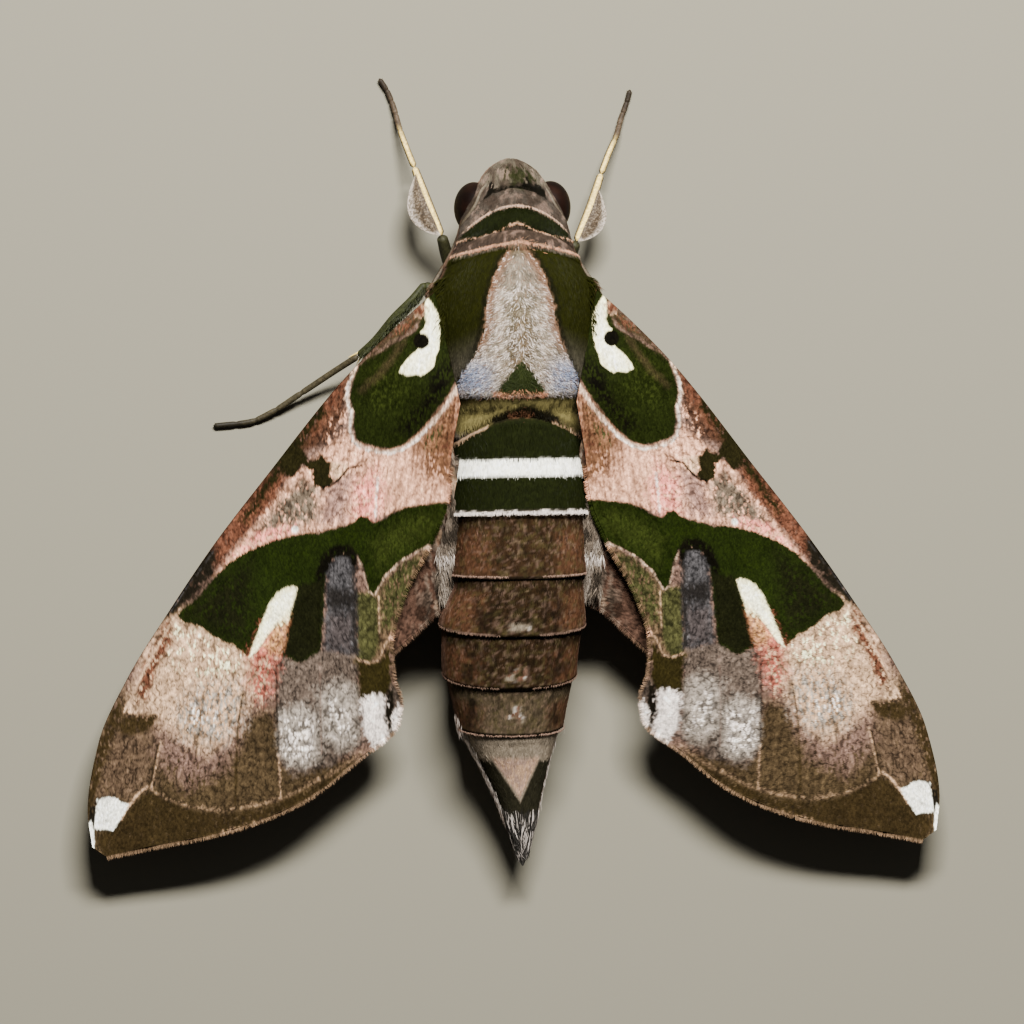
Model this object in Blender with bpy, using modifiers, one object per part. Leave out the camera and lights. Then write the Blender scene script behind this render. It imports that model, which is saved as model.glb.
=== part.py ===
"""A jade hawk moth at rest with its wings spread, life size. Metres, +Z up, +Y towards the head.

Every solid piece of the animal is an object of its own: the rings of the body, the eyes, the palps, the
wings and the three lengths of each leg. The lengths below are in millimetres.
"""

import math

import bmesh
import bpy
import numpy as np
from mathutils import Vector

MM = 0.001
GAP = 0.3  # parting between two neighbouring solids
SIDES = (("L", -1), ("R", 1))

# ---- body: what it measures at stations along Y ----
BODY = (  # station, top, underside, half width, midline
    (21.4, 8.5, 4.4, 3.3, 0.35),
    (20.0, 9.5, 3.6, 3.9, 0.3),
    (18.3, 10.4, 3.2, 4.5, 0.15),
    (16.6, 11.3, 2.7, 5.1, 0.1),
    (14.0, 12.3, 2.2, 5.6, 0.1),
    (11.0, 12.8, 2.0, 5.9, 0.1),
    (8.0, 12.6, 2.0, 5.9, 0.1),
    (6.0, 12.0, 2.1, 5.6, 0.1),
    (5.0, 11.3, 2.2, 5.1, 0.15),
    (4.0, 10.8, 2.1, 4.9, 0.2),
    (2.0, 10.9, 1.7, 4.9, 0.25),
    (-2.0, 11.0, 1.4, 4.95, 0.3),
    (-8.0, 10.8, 1.2, 5.1, 0.25),
    (-12.0, 10.3, 1.2, 5.55, -0.2),
    (-16.0, 9.4, 1.3, 5.2, -0.45),
    (-20.0, 7.9, 1.7, 3.9, -0.35),
    (-23.0, 6.4, 2.1, 2.6, 0.0),
    (-26.0, 5.1, 2.5, 1.4, 0.3),
    (-29.9, 3.7, 3.0, 0.4, 0.5),
)
STATION, TOP, UNDER, HALF, MIDLINE = zip(*BODY)
# How the partings between rings run: bent back at the sides (per mm squared) and leaning back below (mm)
BEND_Y, BEND = (19.8, 16.9, 13.0, 9.0), (0.100, 0.040, 0.015, 0.0)
LEAN_Y = (19.8, 16.9, 13.0, 9.0, -5.0, -12.0, -16.0, -20.0, -29.9)
LEAN = (2.2, 0.8, 0.3, 0.0, 0.0, -1.8, -2.4, -1.4, -0.3)
ROUNDNESS = 2.2  # exponent of the superellipse of a ring
RING_SIDES = 26

HEAD = (21.25, 20.05)  # front and rear of each ring, at the top of the midline
HEAD_HALF = 2.5  # the head between the eyes
COLLAR = (19.75, 16.95)
THORAX = (16.5, 5.25)
METATHORAX = (4.95, 4.05)
ABDOMEN_PARTINGS = (3.75, -0.6, -3.25, -8.0, -12.45, -16.45, -19.95, -26.0)
TAIL_TUFT = (-26.0, -29.9)

TEGULA_Y = (15.6, 6.4)
TEGULA_FROM = (14.0, 40.0)  # degrees from the top of the thorax, at its front and rear
TEGULA_TO = 69.0
TEGULA_DEEP = 0.9
TEGULA_ROWS, TEGULA_COLUMNS = 7, 6
SEAT_SLACK = 4.5  # degrees by which its seat is wider than the tegula on each side
SEAT_WALL, SEAT_STEP = 1.2, 0.1  # slope of the seat's walls round the body (degrees) and along it (mm)

EYE_CENTRE = (2.85, 19.75, 6.2)
EYE_RADII = (1.55, 2.0, 2.05)
EYE_FLAT = 0.02  # where the flat against the head lies, from the eye's centre
PALP_REAR, PALP_FRONT = 21.5, 23.55
PALP_OUT, PALP_UP = 1.2, 6.2
PALP_HALF, PALP_TALL = 1.0, 1.9
PALP_INWARD, PALP_SINK = 0.35, 0.5  # how far the tip turns inwards and down
PALP_BLUNT, PALP_TIP = 2.6, 0.12  # exponent of the rounding, and what is left of the size at the tip
PALP_LEAN = 1.3  # how far its rear face leans back, along the face of the head
PALP_SIDES = 12
PROBOSCIS_CENTRE = (0.35, 20.65, 3.8)
PROBOSCIS_RADIUS, PROBOSCIS_TURNS, PROBOSCIS_THICK = 1.0, 1.1, 0.25
PROBOSCIS_TIGHTER = 0.62  # share of its radius the coil has lost at its inner end
PROBOSCIS_STEPS = 16
ANTENNA_THICK = 0.28
ANTENNA_PATH = (
    (2.45, 21.5, 8.4), (3.2, 20.5, 8.7), (3.75, 19.6, 8.65), (4.3, 18.6, 8.2), (5.0, 17.2, 7.3),
    (5.75, 15.2, 6.5), (6.25, 13.2, 6.1), (6.9, 10.0, 5.9), (7.7, 7.0, 5.7), (8.5, 4.4, 5.4),
)

# ---- wings: their edges from above on the right side, from the root to the tip ----
WING_THICK = 0.5
FOREWING_COSTA = (
    (6.1, 13.5), (8.9, 11.0), (12.7, 7.2), (18.5, 0.0), (22.5, -5.1),
    (25.9, -10.0), (29.1, -15.0), (31.4, -20.0), (32.25, -25.0), (31.95, -27.6),
)
FOREWING_REAR = (
    (4.45, 5.0), (4.85, 1.0), (5.1, -2.0), (6.7, -5.6), (8.8, -9.6), (9.75, -13.2), (9.6, -15.6),
    (9.0, -17.4), (9.2, -19.0), (12.0, -21.4), (16.5, -24.7), (22.5, -26.8), (27.5, -27.65), (31.0, -28.3),
)
HINDWING_COSTA = ((7.6, 6.0), (11.0, 0.0), (15.0, -8.0), (18.2, -15.0), (19.6, -19.2))
HINDWING_REAR = (
    (6.1, 4.2), (5.95, 0.0), (5.85, -5.0), (5.7, -8.7),
    (7.0, -10.8), (9.6, -13.5), (14.0, -17.2), (19.0, -19.8),
)
HINDWING_BELOW = 0.95
FOREWING_GRID, HINDWING_GRID = (24, 8), (12, 6)
ROOT_CLEAR, ROOT_FADE = 1.2, 0.05  # the root line bows out round the thorax, which fades along the wing
BOW_BACK = 1.5  # exponent that puts the bow's widest place behind the middle
WING_SWAY = 0.4  # the rear of each wing lies this far to the moth's right, at the middle of its length
SWAY_SPREAD = 0.25  # share of the wing's length over which that fades
# Heights along a line from wing root to tip: of the front edge and of the ridge behind it
WING_ROOT, WING_TIP = (6.0, 13.0), (32.25, -28.0)
EDGE = ((0.0, 9.2), (5.0, 7.5), (10.0, 6.0), (20.0, 4.4), (30.0, 3.7), (40.0, 3.4), (49.0, 3.4))
RIDGE = (
    (0.0, 10.2), (5.0, 10.4), (9.5, 9.4), (12.0, 8.7), (17.5, 7.5), (24.0, 6.5), (30.0, 6.1), (36.0, 5.4),
    (42.0, 4.7), (49.0, 3.9),
)
RIDGE_SPREAD, RIDGE_FROM = 10.0, 4.0  # the rise to the ridge: how wide, and how far in front it starts
RIDGE_BLUNT = 0.9
DROOP_FROM, DROOP = 9.0, 0.05  # the hind corner sinks by this much per mm squared beyond the ridge

# ---- legs: the points from hip to knee, on to the ankle and on to the claws; -1 is the moth's left ----
SOLE = 0.24  # height of a foot's middle line where it lies on the ground
FEMUR_THICK, TIBIA_THICK, TARSUS_THICK = 0.52, 0.45, 0.3
LIMB_STEPS = 6
KNEE_TRIM = {"fore": 0.32, "mid": 0.62, "hind": 0.25}  # how far each length stops short of the joint
ANKLE_TRIM = 0.16
END_TAPER, END_LENGTH = 0.7, 0.35  # each end narrows to this share over this length
HIND_LEG = (
    ((3.5, 6.4, 1.95), (5.4, 4.9, 2.55), (7.2, 3.5, 3.4)),
    ((9.4, 0.3, 3.0), (11.2, -2.7, 2.3), (12.8, -5.4, 1.6)),
    ((14.3, -8.1, 0.7), (15.4, -10.1, SOLE), (17.0, -13.2, SOLE)),
)
LEGS = {
    "fore": {
        -1: (
            ((3.6, 14.1, 2.45), (4.3, 15.9, 3.1), (4.9, 17.8, 4.2)),
            ((5.85, 20.5, 3.3), (6.65, 23.0, 2.15)),
            ((7.15, 24.5, 1.5), (7.6, 26.0, 0.9), (7.9, 27.4, 0.4), (8.35, 28.7, SOLE), (9.0, 29.785, SOLE)),
        ),
        1: (
            ((3.85, 13.8, 2.4), (4.6, 15.4, 3.0), (5.3, 17.2, 4.1)),
            ((6.5, 19.8, 3.2), (7.5, 22.3, 2.15)),
            ((8.2, 23.9, 1.5), (8.9, 25.3, 0.9), (9.3, 26.5, 0.4), (9.8, 27.8, SOLE), (10.05, 28.7, SOLE)),
        ),
    },
    "mid": {
        -1: (
            ((3.9, 9.6, 1.75), (5.1, 12.0, 2.9), (6.2, 14.2, 4.6)),
            ((7.5, 13.3, 4.7), (8.95, 11.9, 4.3), (10.3, 10.1, 3.5), (11.3, 8.85, 2.7)),
            ((13.0, 7.7, 1.8), (15.6, 6.0, 0.9), (17.6, 4.75, 0.45), (19.3, 4.05, SOLE), (22.0, 3.8, SOLE)),
        ),
        1: (
            ((3.9, 9.6, 1.75), (5.1, 12.0, 2.8), (6.2, 13.9, 4.5)),
            ((7.2, 11.8, 4.4), (8.0, 9.9, 3.8), (9.0, 7.7, 2.9)),
            ((10.6, 5.0, 1.6), (12.2, 2.6, 0.7), (13.4, 0.8, SOLE), (14.8, -1.4, SOLE)),
        ),
    },
    "hind": {-1: HIND_LEG, 1: HIND_LEG},
}

COLOURS = {
    "fur": ((0.16, 0.12, 0.09), 0.9),
    "green_fur": ((0.05, 0.07, 0.02), 0.9),
    "wing": ((0.30, 0.22, 0.18), 0.85),
    "eye": ((0.05, 0.02, 0.02), 0.2),
    "leg": ((0.12, 0.11, 0.06), 0.8),
    "horn": ((0.20, 0.13, 0.09), 0.6),
}


def clear_scene():
    for obj in list(bpy.data.objects):
        bpy.data.objects.remove(obj)


def make_collection(name):
    """Returns a new collection linked to the scene."""
    collection = bpy.data.collections.new(name)
    bpy.context.scene.collection.children.link(collection)
    return collection


def make_material(node, kind):
    """A Principled material of the node's own, in one of the moth's six finishes."""
    colour, roughness = COLOURS[kind]
    material = bpy.data.materials.new(node + "_" + kind)
    material.use_nodes = True
    shader = material.node_tree.nodes["Principled BSDF"]
    shader.inputs["Base Color"].default_value = (*colour, 1.0)
    shader.inputs["Roughness"].default_value = roughness
    return material


def add_solid(name, points, faces, kind):
    """An object from points in millimetres, with its faces turned outwards."""
    mesh = bpy.data.meshes.new(name)
    mesh.from_pydata([tuple(MM * value for value in point) for point in points], [], faces)
    work = bmesh.new()
    work.from_mesh(mesh)
    bmesh.ops.recalc_face_normals(work, faces=work.faces)
    work.to_mesh(mesh)
    work.free()
    mesh.materials.append(make_material(name, kind))
    mesh.shade_smooth()
    obj = bpy.data.objects.new(name, mesh)
    MOTH.objects.link(obj)
    return obj


def smooth_through(knots, values, at):
    """A curve through the knots that never overshoots them: cubic pieces with harmonic slopes."""
    knots = np.asarray(knots, float)
    values = np.asarray(values, float)
    if knots[0] > knots[-1]:
        knots, values = knots[::-1], values[::-1]
    steps = np.diff(knots)
    rises = np.diff(values) / steps
    slopes = np.zeros_like(values)
    same_way = rises[1:] * rises[:-1] > 0
    slopes[1:-1][same_way] = 2 / (1 / rises[1:][same_way] + 1 / rises[:-1][same_way])
    slopes[0], slopes[-1] = rises[0], rises[-1]
    at = np.clip(at, knots[0], knots[-1])
    piece = np.clip(np.searchsorted(knots, at, side="right") - 1, 0, len(steps) - 1)
    width = steps[piece]
    u = (at - knots[piece]) / width
    here = (1 + 2 * u) * (1 - u) ** 2 * values[piece] + u * (1 - u) ** 2 * width * slopes[piece]
    there = u * u * (3 - 2 * u) * values[piece + 1] + u * u * (u - 1) * width * slopes[piece + 1]
    return here + there


def along(points, fractions):
    """Places on a smooth line through the points, at fractions of its length."""
    points = np.asarray(points, float)
    run = np.concatenate([[0.0], np.cumsum(np.linalg.norm(np.diff(points, axis=0), axis=1))])
    at = np.asarray(fractions) * run[-1]
    return np.stack([smooth_through(run, points[:, axis], at) for axis in range(points.shape[1])], axis=-1)


# ---- the rings of the body ----


def body_point(station, degrees, inset=0.0, half=None):
    """A point of the body's surface: station along Y, degrees down from the top, inset below the surface."""
    top = smooth_through(STATION, TOP, station)
    under = smooth_through(STATION, UNDER, station)
    wide = smooth_through(STATION, HALF, station) if half is None else half
    turn = math.radians(degrees)
    across, up = math.sin(turn), math.cos(turn)
    x = (wide - inset) * math.copysign(abs(across) ** (2 / ROUNDNESS), across)
    z = (top + under) / 2 + ((top - under) / 2 - inset) * math.copysign(abs(up) ** (2 / ROUNDNESS), up)
    lean = smooth_through(LEAN_Y, LEAN, station) * (1 - (z - under) / (top - under))
    y = station - smooth_through(BEND_Y, BEND, station) * x * x - lean
    return (x + smooth_through(STATION, MIDLINE, station), y, z)


def loft(name, rings, kind):
    """Joins rings of the same number of points, and closes both ends with a fan."""
    sides = len(rings[0])
    points = [point for ring in rings for point in ring]
    faces = []
    for low in range(0, (len(rings) - 1) * sides, sides):
        for k in range(sides):
            after = (k + 1) % sides
            faces.append((low + k, low + after, low + sides + after, low + sides + k))
    for first, ring in ((0, rings[0]), (len(points) - sides, rings[-1])):
        middle = len(points)
        points.append(tuple(np.mean(ring, axis=0)))
        faces += [(first + k, first + (k + 1) % sides, middle) for k in range(sides)]
    return add_solid(name, points, faces, kind)


def body_ring(name, front, rear, steps, kind, half=None):
    """A length of the body between two stations."""
    stations = np.linspace(front, rear, steps + 1)
    degrees = np.linspace(0, 360, RING_SIDES, endpoint=False)
    return loft(name, [[body_point(y, a, half=half) for a in degrees] for y in stations], kind)


def tegula_edge(station):
    """Degrees from the top at which the tegula begins, at a station."""
    return float(np.interp(station, TEGULA_Y[::-1], TEGULA_FROM[::-1]))


def build_thorax():
    """The thorax, with a shallow seat on each shoulder for the tegula."""

    def ring(station, seat):
        start = tegula_edge(station) - SEAT_SLACK
        end = TEGULA_TO + SEAT_SLACK
        inner = np.linspace(start + SEAT_WALL, end - SEAT_WALL, 5)
        half_ring = [(0.0, 0), (start * 0.5, 0), (start, 0), *[(a, 1) for a in inner], (end, 0)]
        half_ring += [(a, 0) for a in (90.0, 110.0, 130.0, 150.0, 170.0)]
        deep = (TEGULA_DEEP + GAP) * seat
        right = [body_point(station, a, deep * inside) for a, inside in half_ring]
        left = [body_point(station, -a, deep * inside) for a, inside in half_ring[:0:-1]]
        return right + left

    seat_from, seat_to = TEGULA_Y[0] + GAP, TEGULA_Y[1] - GAP
    stations = [(THORAX[0], 0), (seat_from + SEAT_STEP, 0), (seat_from, 1)]
    stations += [(y, 1) for y in (13.5, 11.0, 8.6)]
    stations += [(seat_to, 1), (seat_to - SEAT_STEP, 0), (THORAX[1], 0)]
    return loft("thorax", [ring(y, seat) for y, seat in stations], "fur")


def build_tegula(name, side):
    """The scaly flap over the root of a forewing: an outer and an inner face joined round their rim."""
    rows, columns = TEGULA_ROWS, TEGULA_COLUMNS
    outer, inner = [], []
    for y in np.linspace(*TEGULA_Y, rows):
        for a in np.linspace(tegula_edge(y), TEGULA_TO, columns):
            outer.append(body_point(y, side * a))
            inner.append(body_point(y, side * a, TEGULA_DEEP))
    faces = []
    for r in range(rows - 1):
        for c in range(columns - 1):
            first = r * columns + c
            quad = [first, first + 1, first + columns + 1, first + columns]
            faces += [quad, [k + len(outer) for k in reversed(quad)]]
    rim = [*range(columns)]
    rim += [r * columns + columns - 1 for r in range(1, rows)]
    rim += [(rows - 1) * columns + c for c in range(columns - 2, -1, -1)]
    rim += [r * columns for r in range(rows - 2, 0, -1)]
    faces += [[a, b, b + len(outer), a + len(outer)] for a, b in zip(rim, rim[1:] + rim[:1])]
    return add_solid(name, outer + inner, faces, "green_fur")


def build_body():
    body_ring("head", *HEAD, 3, "fur", half=HEAD_HALF)
    body_ring("collar", *COLLAR, 4, "green_fur")
    build_thorax()
    build_tegula("tegula_L", -1)
    build_tegula("tegula_R", 1)
    body_ring("metathorax", *METATHORAX, 1, "fur")
    for number, (front, rear) in enumerate(zip(ABDOMEN_PARTINGS, ABDOMEN_PARTINGS[1:]), start=1):
        steps = 5 if number == len(ABDOMEN_PARTINGS) - 1 else 2
        kind = "green_fur" if number <= 2 else "fur"
        body_ring("abdomen_" + str(number), front, rear + GAP, steps, kind)
    body_ring("tail_tuft", *TAIL_TUFT, 2, "fur")


# ---- the head's small parts ----


def build_eye(name, side):
    """A flattened ball, cut flat where it sits against the head."""
    work = bmesh.new()
    bmesh.ops.create_uvsphere(work, u_segments=16, v_segments=12, radius=1.0)
    bmesh.ops.scale(work, vec=EYE_RADII, verts=work.verts)
    everything = work.verts[:] + work.edges[:] + work.faces[:]
    flat = {"plane_co": (EYE_FLAT, 0, 0), "plane_no": (1, 0, 0), "clear_inner": True}
    cut = bmesh.ops.bisect_plane(work, geom=everything, **flat)
    rim = [edge for edge in cut["geom_cut"] if isinstance(edge, bmesh.types.BMEdge)]
    bmesh.ops.contextual_create(work, geom=rim)
    work.verts.ensure_lookup_table()
    middle = smooth_through(STATION, MIDLINE, EYE_CENTRE[1])
    centred = [v.co + Vector(EYE_CENTRE) for v in work.verts]
    points = [(side * place.x + middle, place.y, place.z) for place in centred]
    faces = [[v.index for v in face.verts] for face in work.faces]
    work.free()
    return add_solid(name, points, faces, "eye")


def build_palp(name, side):
    """A plump scaled lobe in front of the mouth, rounding off towards its tip."""
    middle = smooth_through(STATION, MIDLINE, PALP_REAR)
    rings = []
    for u in (0.0, 0.3, 0.6, 0.82, 0.95, 1.0):
        size = math.sqrt(1 - (1 - PALP_TIP ** 2) * u ** PALP_BLUNT)
        out = PALP_OUT - PALP_INWARD * u * u
        up = PALP_UP - PALP_SINK * u * u
        y = PALP_REAR + (PALP_FRONT - PALP_REAR) * u
        wide, tall = PALP_HALF * size, PALP_TALL * size
        ring = []
        for turn in np.linspace(0, math.tau, PALP_SIDES, endpoint=False):
            x = middle + side * (out + wide * math.sin(turn))
            lean = PALP_LEAN * (1 - u) * (1 - math.cos(turn)) / 2
            ring.append((x, y - lean, up + tall * math.cos(turn)))
        rings.append(ring)
    return loft(name, rings, "fur")


def tube(name, points, radii, kind, resolution=2):
    """A round limb along a line of points: a curve with a bevel and filled caps, made into a welded mesh."""
    data = bpy.data.curves.new(name + "_line", "CURVE")
    data.dimensions = "3D"
    data.bevel_depth = MM
    data.bevel_resolution = resolution
    data.use_fill_caps = True
    spline = data.splines.new("POLY")
    spline.points.add(len(points) - 1)
    for knot, point, radius in zip(spline.points, points, radii):
        knot.co = (*[MM * value for value in point], 1.0)
        knot.radius = radius
    line = bpy.data.objects.new(name + "_line", data)
    MOTH.objects.link(line)
    graph = bpy.context.evaluated_depsgraph_get()
    mesh = bpy.data.meshes.new_from_object(line.evaluated_get(graph))
    bpy.data.objects.remove(line)
    bpy.data.curves.remove(data)
    work = bmesh.new()
    work.from_mesh(mesh)
    bmesh.ops.remove_doubles(work, verts=work.verts, dist=1e-6)
    for vert in work.verts:
        vert.co.z = max(vert.co.z, 0.0)
    bmesh.ops.recalc_face_normals(work, faces=work.faces)
    work.to_mesh(mesh)
    work.free()
    mesh.name = name
    mesh.materials.clear()
    mesh.materials.append(make_material(name, kind))
    mesh.shade_smooth()
    obj = bpy.data.objects.new(name, mesh)
    MOTH.objects.link(obj)
    return obj


def build_head_parts():
    for word, side in SIDES:
        build_eye("eye_" + word, side)
        build_palp("palp_" + word, side)
        middle = smooth_through(STATION, MIDLINE, 20.0)
        line = along(ANTENNA_PATH, np.linspace(0, 1, 12)) * (side, 1, 1) + (middle, 0, 0)
        tube("antenna_" + word, line, [ANTENNA_THICK] * len(line), "horn", resolution=1)
    turns = np.linspace(0.0, math.tau * PROBOSCIS_TURNS, PROBOSCIS_STEPS)
    reach = PROBOSCIS_RADIUS * (1 - PROBOSCIS_TIGHTER * turns / turns[-1])
    x, y, z = PROBOSCIS_CENTRE
    coil = [(x, y - r * math.cos(t), z - r * math.sin(t)) for t, r in zip(turns, reach)]
    tube("proboscis", coil, [PROBOSCIS_THICK] * len(coil), "horn", resolution=1)


# ---- wings ----


def wing_height(x, y):
    """Height of the upper face of the spread forewing over a place on the ground, on the right side."""
    lengthwise = np.subtract(WING_TIP, WING_ROOT) / math.dist(WING_TIP, WING_ROOT)
    p = (x - WING_ROOT[0]) * lengthwise[0] + (y - WING_ROOT[1]) * lengthwise[1]
    q = (x - WING_ROOT[0]) * lengthwise[1] - (y - WING_ROOT[1]) * lengthwise[0]
    edge = smooth_through(*zip(*EDGE), p)
    ridge = smooth_through(*zip(*RIDGE), p)
    rise = np.sin(np.clip((q + RIDGE_FROM) / RIDGE_SPREAD, 0, 1) * math.pi / 2) ** RIDGE_BLUNT
    return edge + (ridge - edge) * rise - DROOP * np.maximum(0, q - DROOP_FROM) ** 2


def build_wing(name, side, costa, rear, rows, columns, below):
    """A wing: lines from its front edge to its rear edge make a sheet, which Solidify gives its thickness."""
    s = np.linspace(0, 1, rows + 1)
    t = np.linspace(0, 1, columns + 1)[None, :, None]
    plan = along(costa, s)[:, None] * (1 - t) + along(rear, s)[:, None] * t
    bow = np.sin(math.pi * t[..., 0] ** BOW_BACK)
    plan[..., 0] += ROOT_CLEAR * bow * np.exp(-s[:, None] / ROOT_FADE)
    high = wing_height(plan[..., 0], plan[..., 1]) - below
    sway = WING_SWAY * t[..., 0] * np.exp(-(((s[:, None] - 0.5) / SWAY_SPREAD) ** 2))
    x = side * plan[..., 0] + sway
    points = np.stack([x, plan[..., 1], high], axis=-1).reshape(-1, 3)
    wide = columns + 1
    corners = np.array([r * wide + c for r in range(rows) for c in range(columns)])
    faces = np.stack([corners, corners + wide, corners + wide + 1, corners + 1], axis=-1)
    obj = add_solid(name, points.tolist(), faces.tolist(), "wing")
    if obj.data.polygons[0].normal.z < 0:
        obj.data.flip_normals()
    thickness = obj.modifiers.new("Thickness", "SOLIDIFY")
    thickness.thickness = WING_THICK * MM
    thickness.offset = -1
    thickness.use_even_offset = True
    return obj


def build_wings():
    for word, side in SIDES:
        build_wing("forewing_" + word, side, FOREWING_COSTA, FOREWING_REAR, *FOREWING_GRID, 0.0)
        build_wing("hindwing_" + word, side, HINDWING_COSTA, HINDWING_REAR, *HINDWING_GRID, HINDWING_BELOW)


# ---- legs ----


def trimmed(path, before, after):
    """Fractions along a limb, with the ends cut short and two more points close to each, for its rounding."""
    length = np.linalg.norm(np.diff(path, axis=0), axis=1).sum()
    start, end = before / length, 1 - after / length
    rounding = END_LENGTH / length
    return np.array([start, *np.linspace(start + rounding, end - rounding, LIMB_STEPS), end])


def build_leg(pair, word, side, lengths):
    """One leg in three lengths. The sole is flattened where the foot lies on the ground."""
    hip_to_knee, knee_to_ankle, ankle_to_claws = lengths
    limbs = (
        ("femur", hip_to_knee, FEMUR_THICK, 0.0, KNEE_TRIM[pair]),
        ("tibia", hip_to_knee[-1:] + knee_to_ankle, TIBIA_THICK, KNEE_TRIM[pair], ANKLE_TRIM),
        ("tarsus", knee_to_ankle[-1:] + ankle_to_claws, TARSUS_THICK, ANKLE_TRIM, 0.0),
    )
    for length, path, thick, before, after in limbs:
        line = along(path, trimmed(path, before, after)) * (side, 1, 1)
        radii = [END_TAPER * thick] + [thick] * LIMB_STEPS + [END_TAPER * thick]
        tube("_".join((pair, length, word)), line, radii, "leg", resolution=1)


def build_legs():
    for pair, sides in LEGS.items():
        for word, side in SIDES:
            build_leg(pair, word, side, sides[side])


clear_scene()
MOTH = make_collection("hawk_moth")
build_body()
build_head_parts()
build_wings()
build_legs()
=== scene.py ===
# %% [markdown]
# # A jade hawk moth at rest
# A hawk moth is a heavy, furred body between two long forewings drawn back over it. Everything seen on it is scales:
# hair-like ones on the body, flat ones laid like roof tiles on the wings. This lesson builds one at life size, about
# 64 mm across, over solids made before. The solids say where each piece is and how far it reaches, and they stay as
# they are. Here every one of them gets, or is replaced by, a surface worth looking at.

# %% The frame of solids, and the units
import math

import bpy
import numpy as np
from mathutils import Matrix, Vector


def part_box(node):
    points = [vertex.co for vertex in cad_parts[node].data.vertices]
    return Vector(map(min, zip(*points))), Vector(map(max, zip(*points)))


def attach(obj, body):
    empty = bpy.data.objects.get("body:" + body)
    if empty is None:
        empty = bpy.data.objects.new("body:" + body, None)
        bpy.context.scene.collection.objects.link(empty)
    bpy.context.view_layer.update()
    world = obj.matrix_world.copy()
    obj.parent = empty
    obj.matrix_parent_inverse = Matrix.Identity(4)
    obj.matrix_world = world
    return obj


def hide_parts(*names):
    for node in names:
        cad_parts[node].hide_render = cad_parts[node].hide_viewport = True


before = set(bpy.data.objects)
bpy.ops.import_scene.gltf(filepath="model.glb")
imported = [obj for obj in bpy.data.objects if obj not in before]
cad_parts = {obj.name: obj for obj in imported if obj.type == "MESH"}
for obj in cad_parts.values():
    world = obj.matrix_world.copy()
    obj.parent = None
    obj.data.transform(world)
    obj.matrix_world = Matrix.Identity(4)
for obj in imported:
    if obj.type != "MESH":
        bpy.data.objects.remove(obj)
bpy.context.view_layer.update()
MM = 0.001  # lengths below are in millimetres, and turned into metres when a mesh is made
SIDES = (("L", -1), ("R", 1))

# %% [markdown]
# ## Meshes from whole arrays
# Each surface is a formula evaluated on a grid of parameters, all its points at once. `foreach_set` hands such
# arrays to Blender, which is far quicker than adding faces one by one. The faces of a closed surface must point
# outwards: its signed volume tells whether they do.


# %% From arrays to a piece
def grid_faces(rows, columns, wrap=False):
    """Quads between neighbours in a grid of rows by columns points; wrap joins the last column to the first."""
    r = np.arange(rows - 1)[:, None] * columns
    c = np.arange(columns if wrap else columns - 1)[None, :]
    after = (c + 1) % columns
    return np.stack([r + c, r + after, r + columns + after, r + columns + c], axis=-1).reshape(-1, 4)


def closed_tube(rows, columns):
    """Faces of a wrapped grid and of the fans that close its ends on the two points after the grid's own."""
    first = np.arange(columns)
    last, start = first + (rows - 1) * columns, np.full(columns, rows * columns)
    fans = np.concatenate([np.stack([np.roll(first, -1), first, start], axis=-1),
                           np.stack([last, np.roll(last, -1), start + 1], axis=-1)])
    return grid_faces(rows, columns, wrap=True), fans


def signed_volume(points, faces):
    """Six times the volume under fans from each face's first corner: positive where faces point outwards."""
    corners = points[faces]
    fans = [np.cross(corners[:, k], corners[:, k + 1]) for k in range(1, faces.shape[1] - 1)]
    return sum(np.einsum("ij,ij->", corners[:, 0], fan) for fan in fans)


def add_piece(name, points, face_sets, material, slot, colours=None, nodes=(), smooth=True):
    """Puts a piece in the scene: points in mm, arrays of faces, a pigment for each point, the nodes it replaces."""
    if sum(signed_volume(points, faces) for faces in face_sets) < 0:
        face_sets = [faces[:, ::-1] for faces in face_sets]
    sizes = np.concatenate([np.full(len(faces), faces.shape[1]) for faces in face_sets])
    corners = np.concatenate([faces.ravel() for faces in face_sets])
    mesh = bpy.data.meshes.new(name)
    mesh.vertices.add(len(points))
    mesh.vertices.foreach_set("co", (points * MM).astype(np.float32).ravel())
    mesh.loops.add(len(corners))
    mesh.loops.foreach_set("vertex_index", corners.astype(np.int32))
    mesh.polygons.add(len(sizes))
    mesh.polygons.foreach_set("loop_start", (np.cumsum(sizes) - sizes).astype(np.int32))
    mesh.polygons.foreach_set("use_smooth", np.full(len(sizes), smooth))
    mesh.update(calc_edges=True)
    if colours is not None:
        rgba = np.concatenate([np.clip(colours, 0, 1), np.ones((len(points), 1))], axis=1)
        layer = mesh.attributes.new("pigment", "FLOAT_COLOR", "POINT")
        layer.data.foreach_set("color", rgba.astype(np.float32).ravel())
    mesh.materials.append(material)
    piece = bpy.data.objects.new(name, mesh)
    bpy.context.scene.collection.objects.link(piece)
    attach(piece, "root")
    if nodes:
        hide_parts(*nodes)
    print(name, "-", len(points), "points,", (sizes - 2).sum(), "triangles")
    return piece


# %% [markdown]
# ## Curves, and noise that looks the same on every run
# The moth's measures come in short tables: how high and wide the body is at a few stations, where a wing's edge
# runs. A cubic through such knots must not overshoot them, so its slopes are harmonic means of the rises beside it.
# Noise hashes the corners of a lattice: the same place always gives the same number, so a tuft and the skin under
# it can share a pattern.


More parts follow.
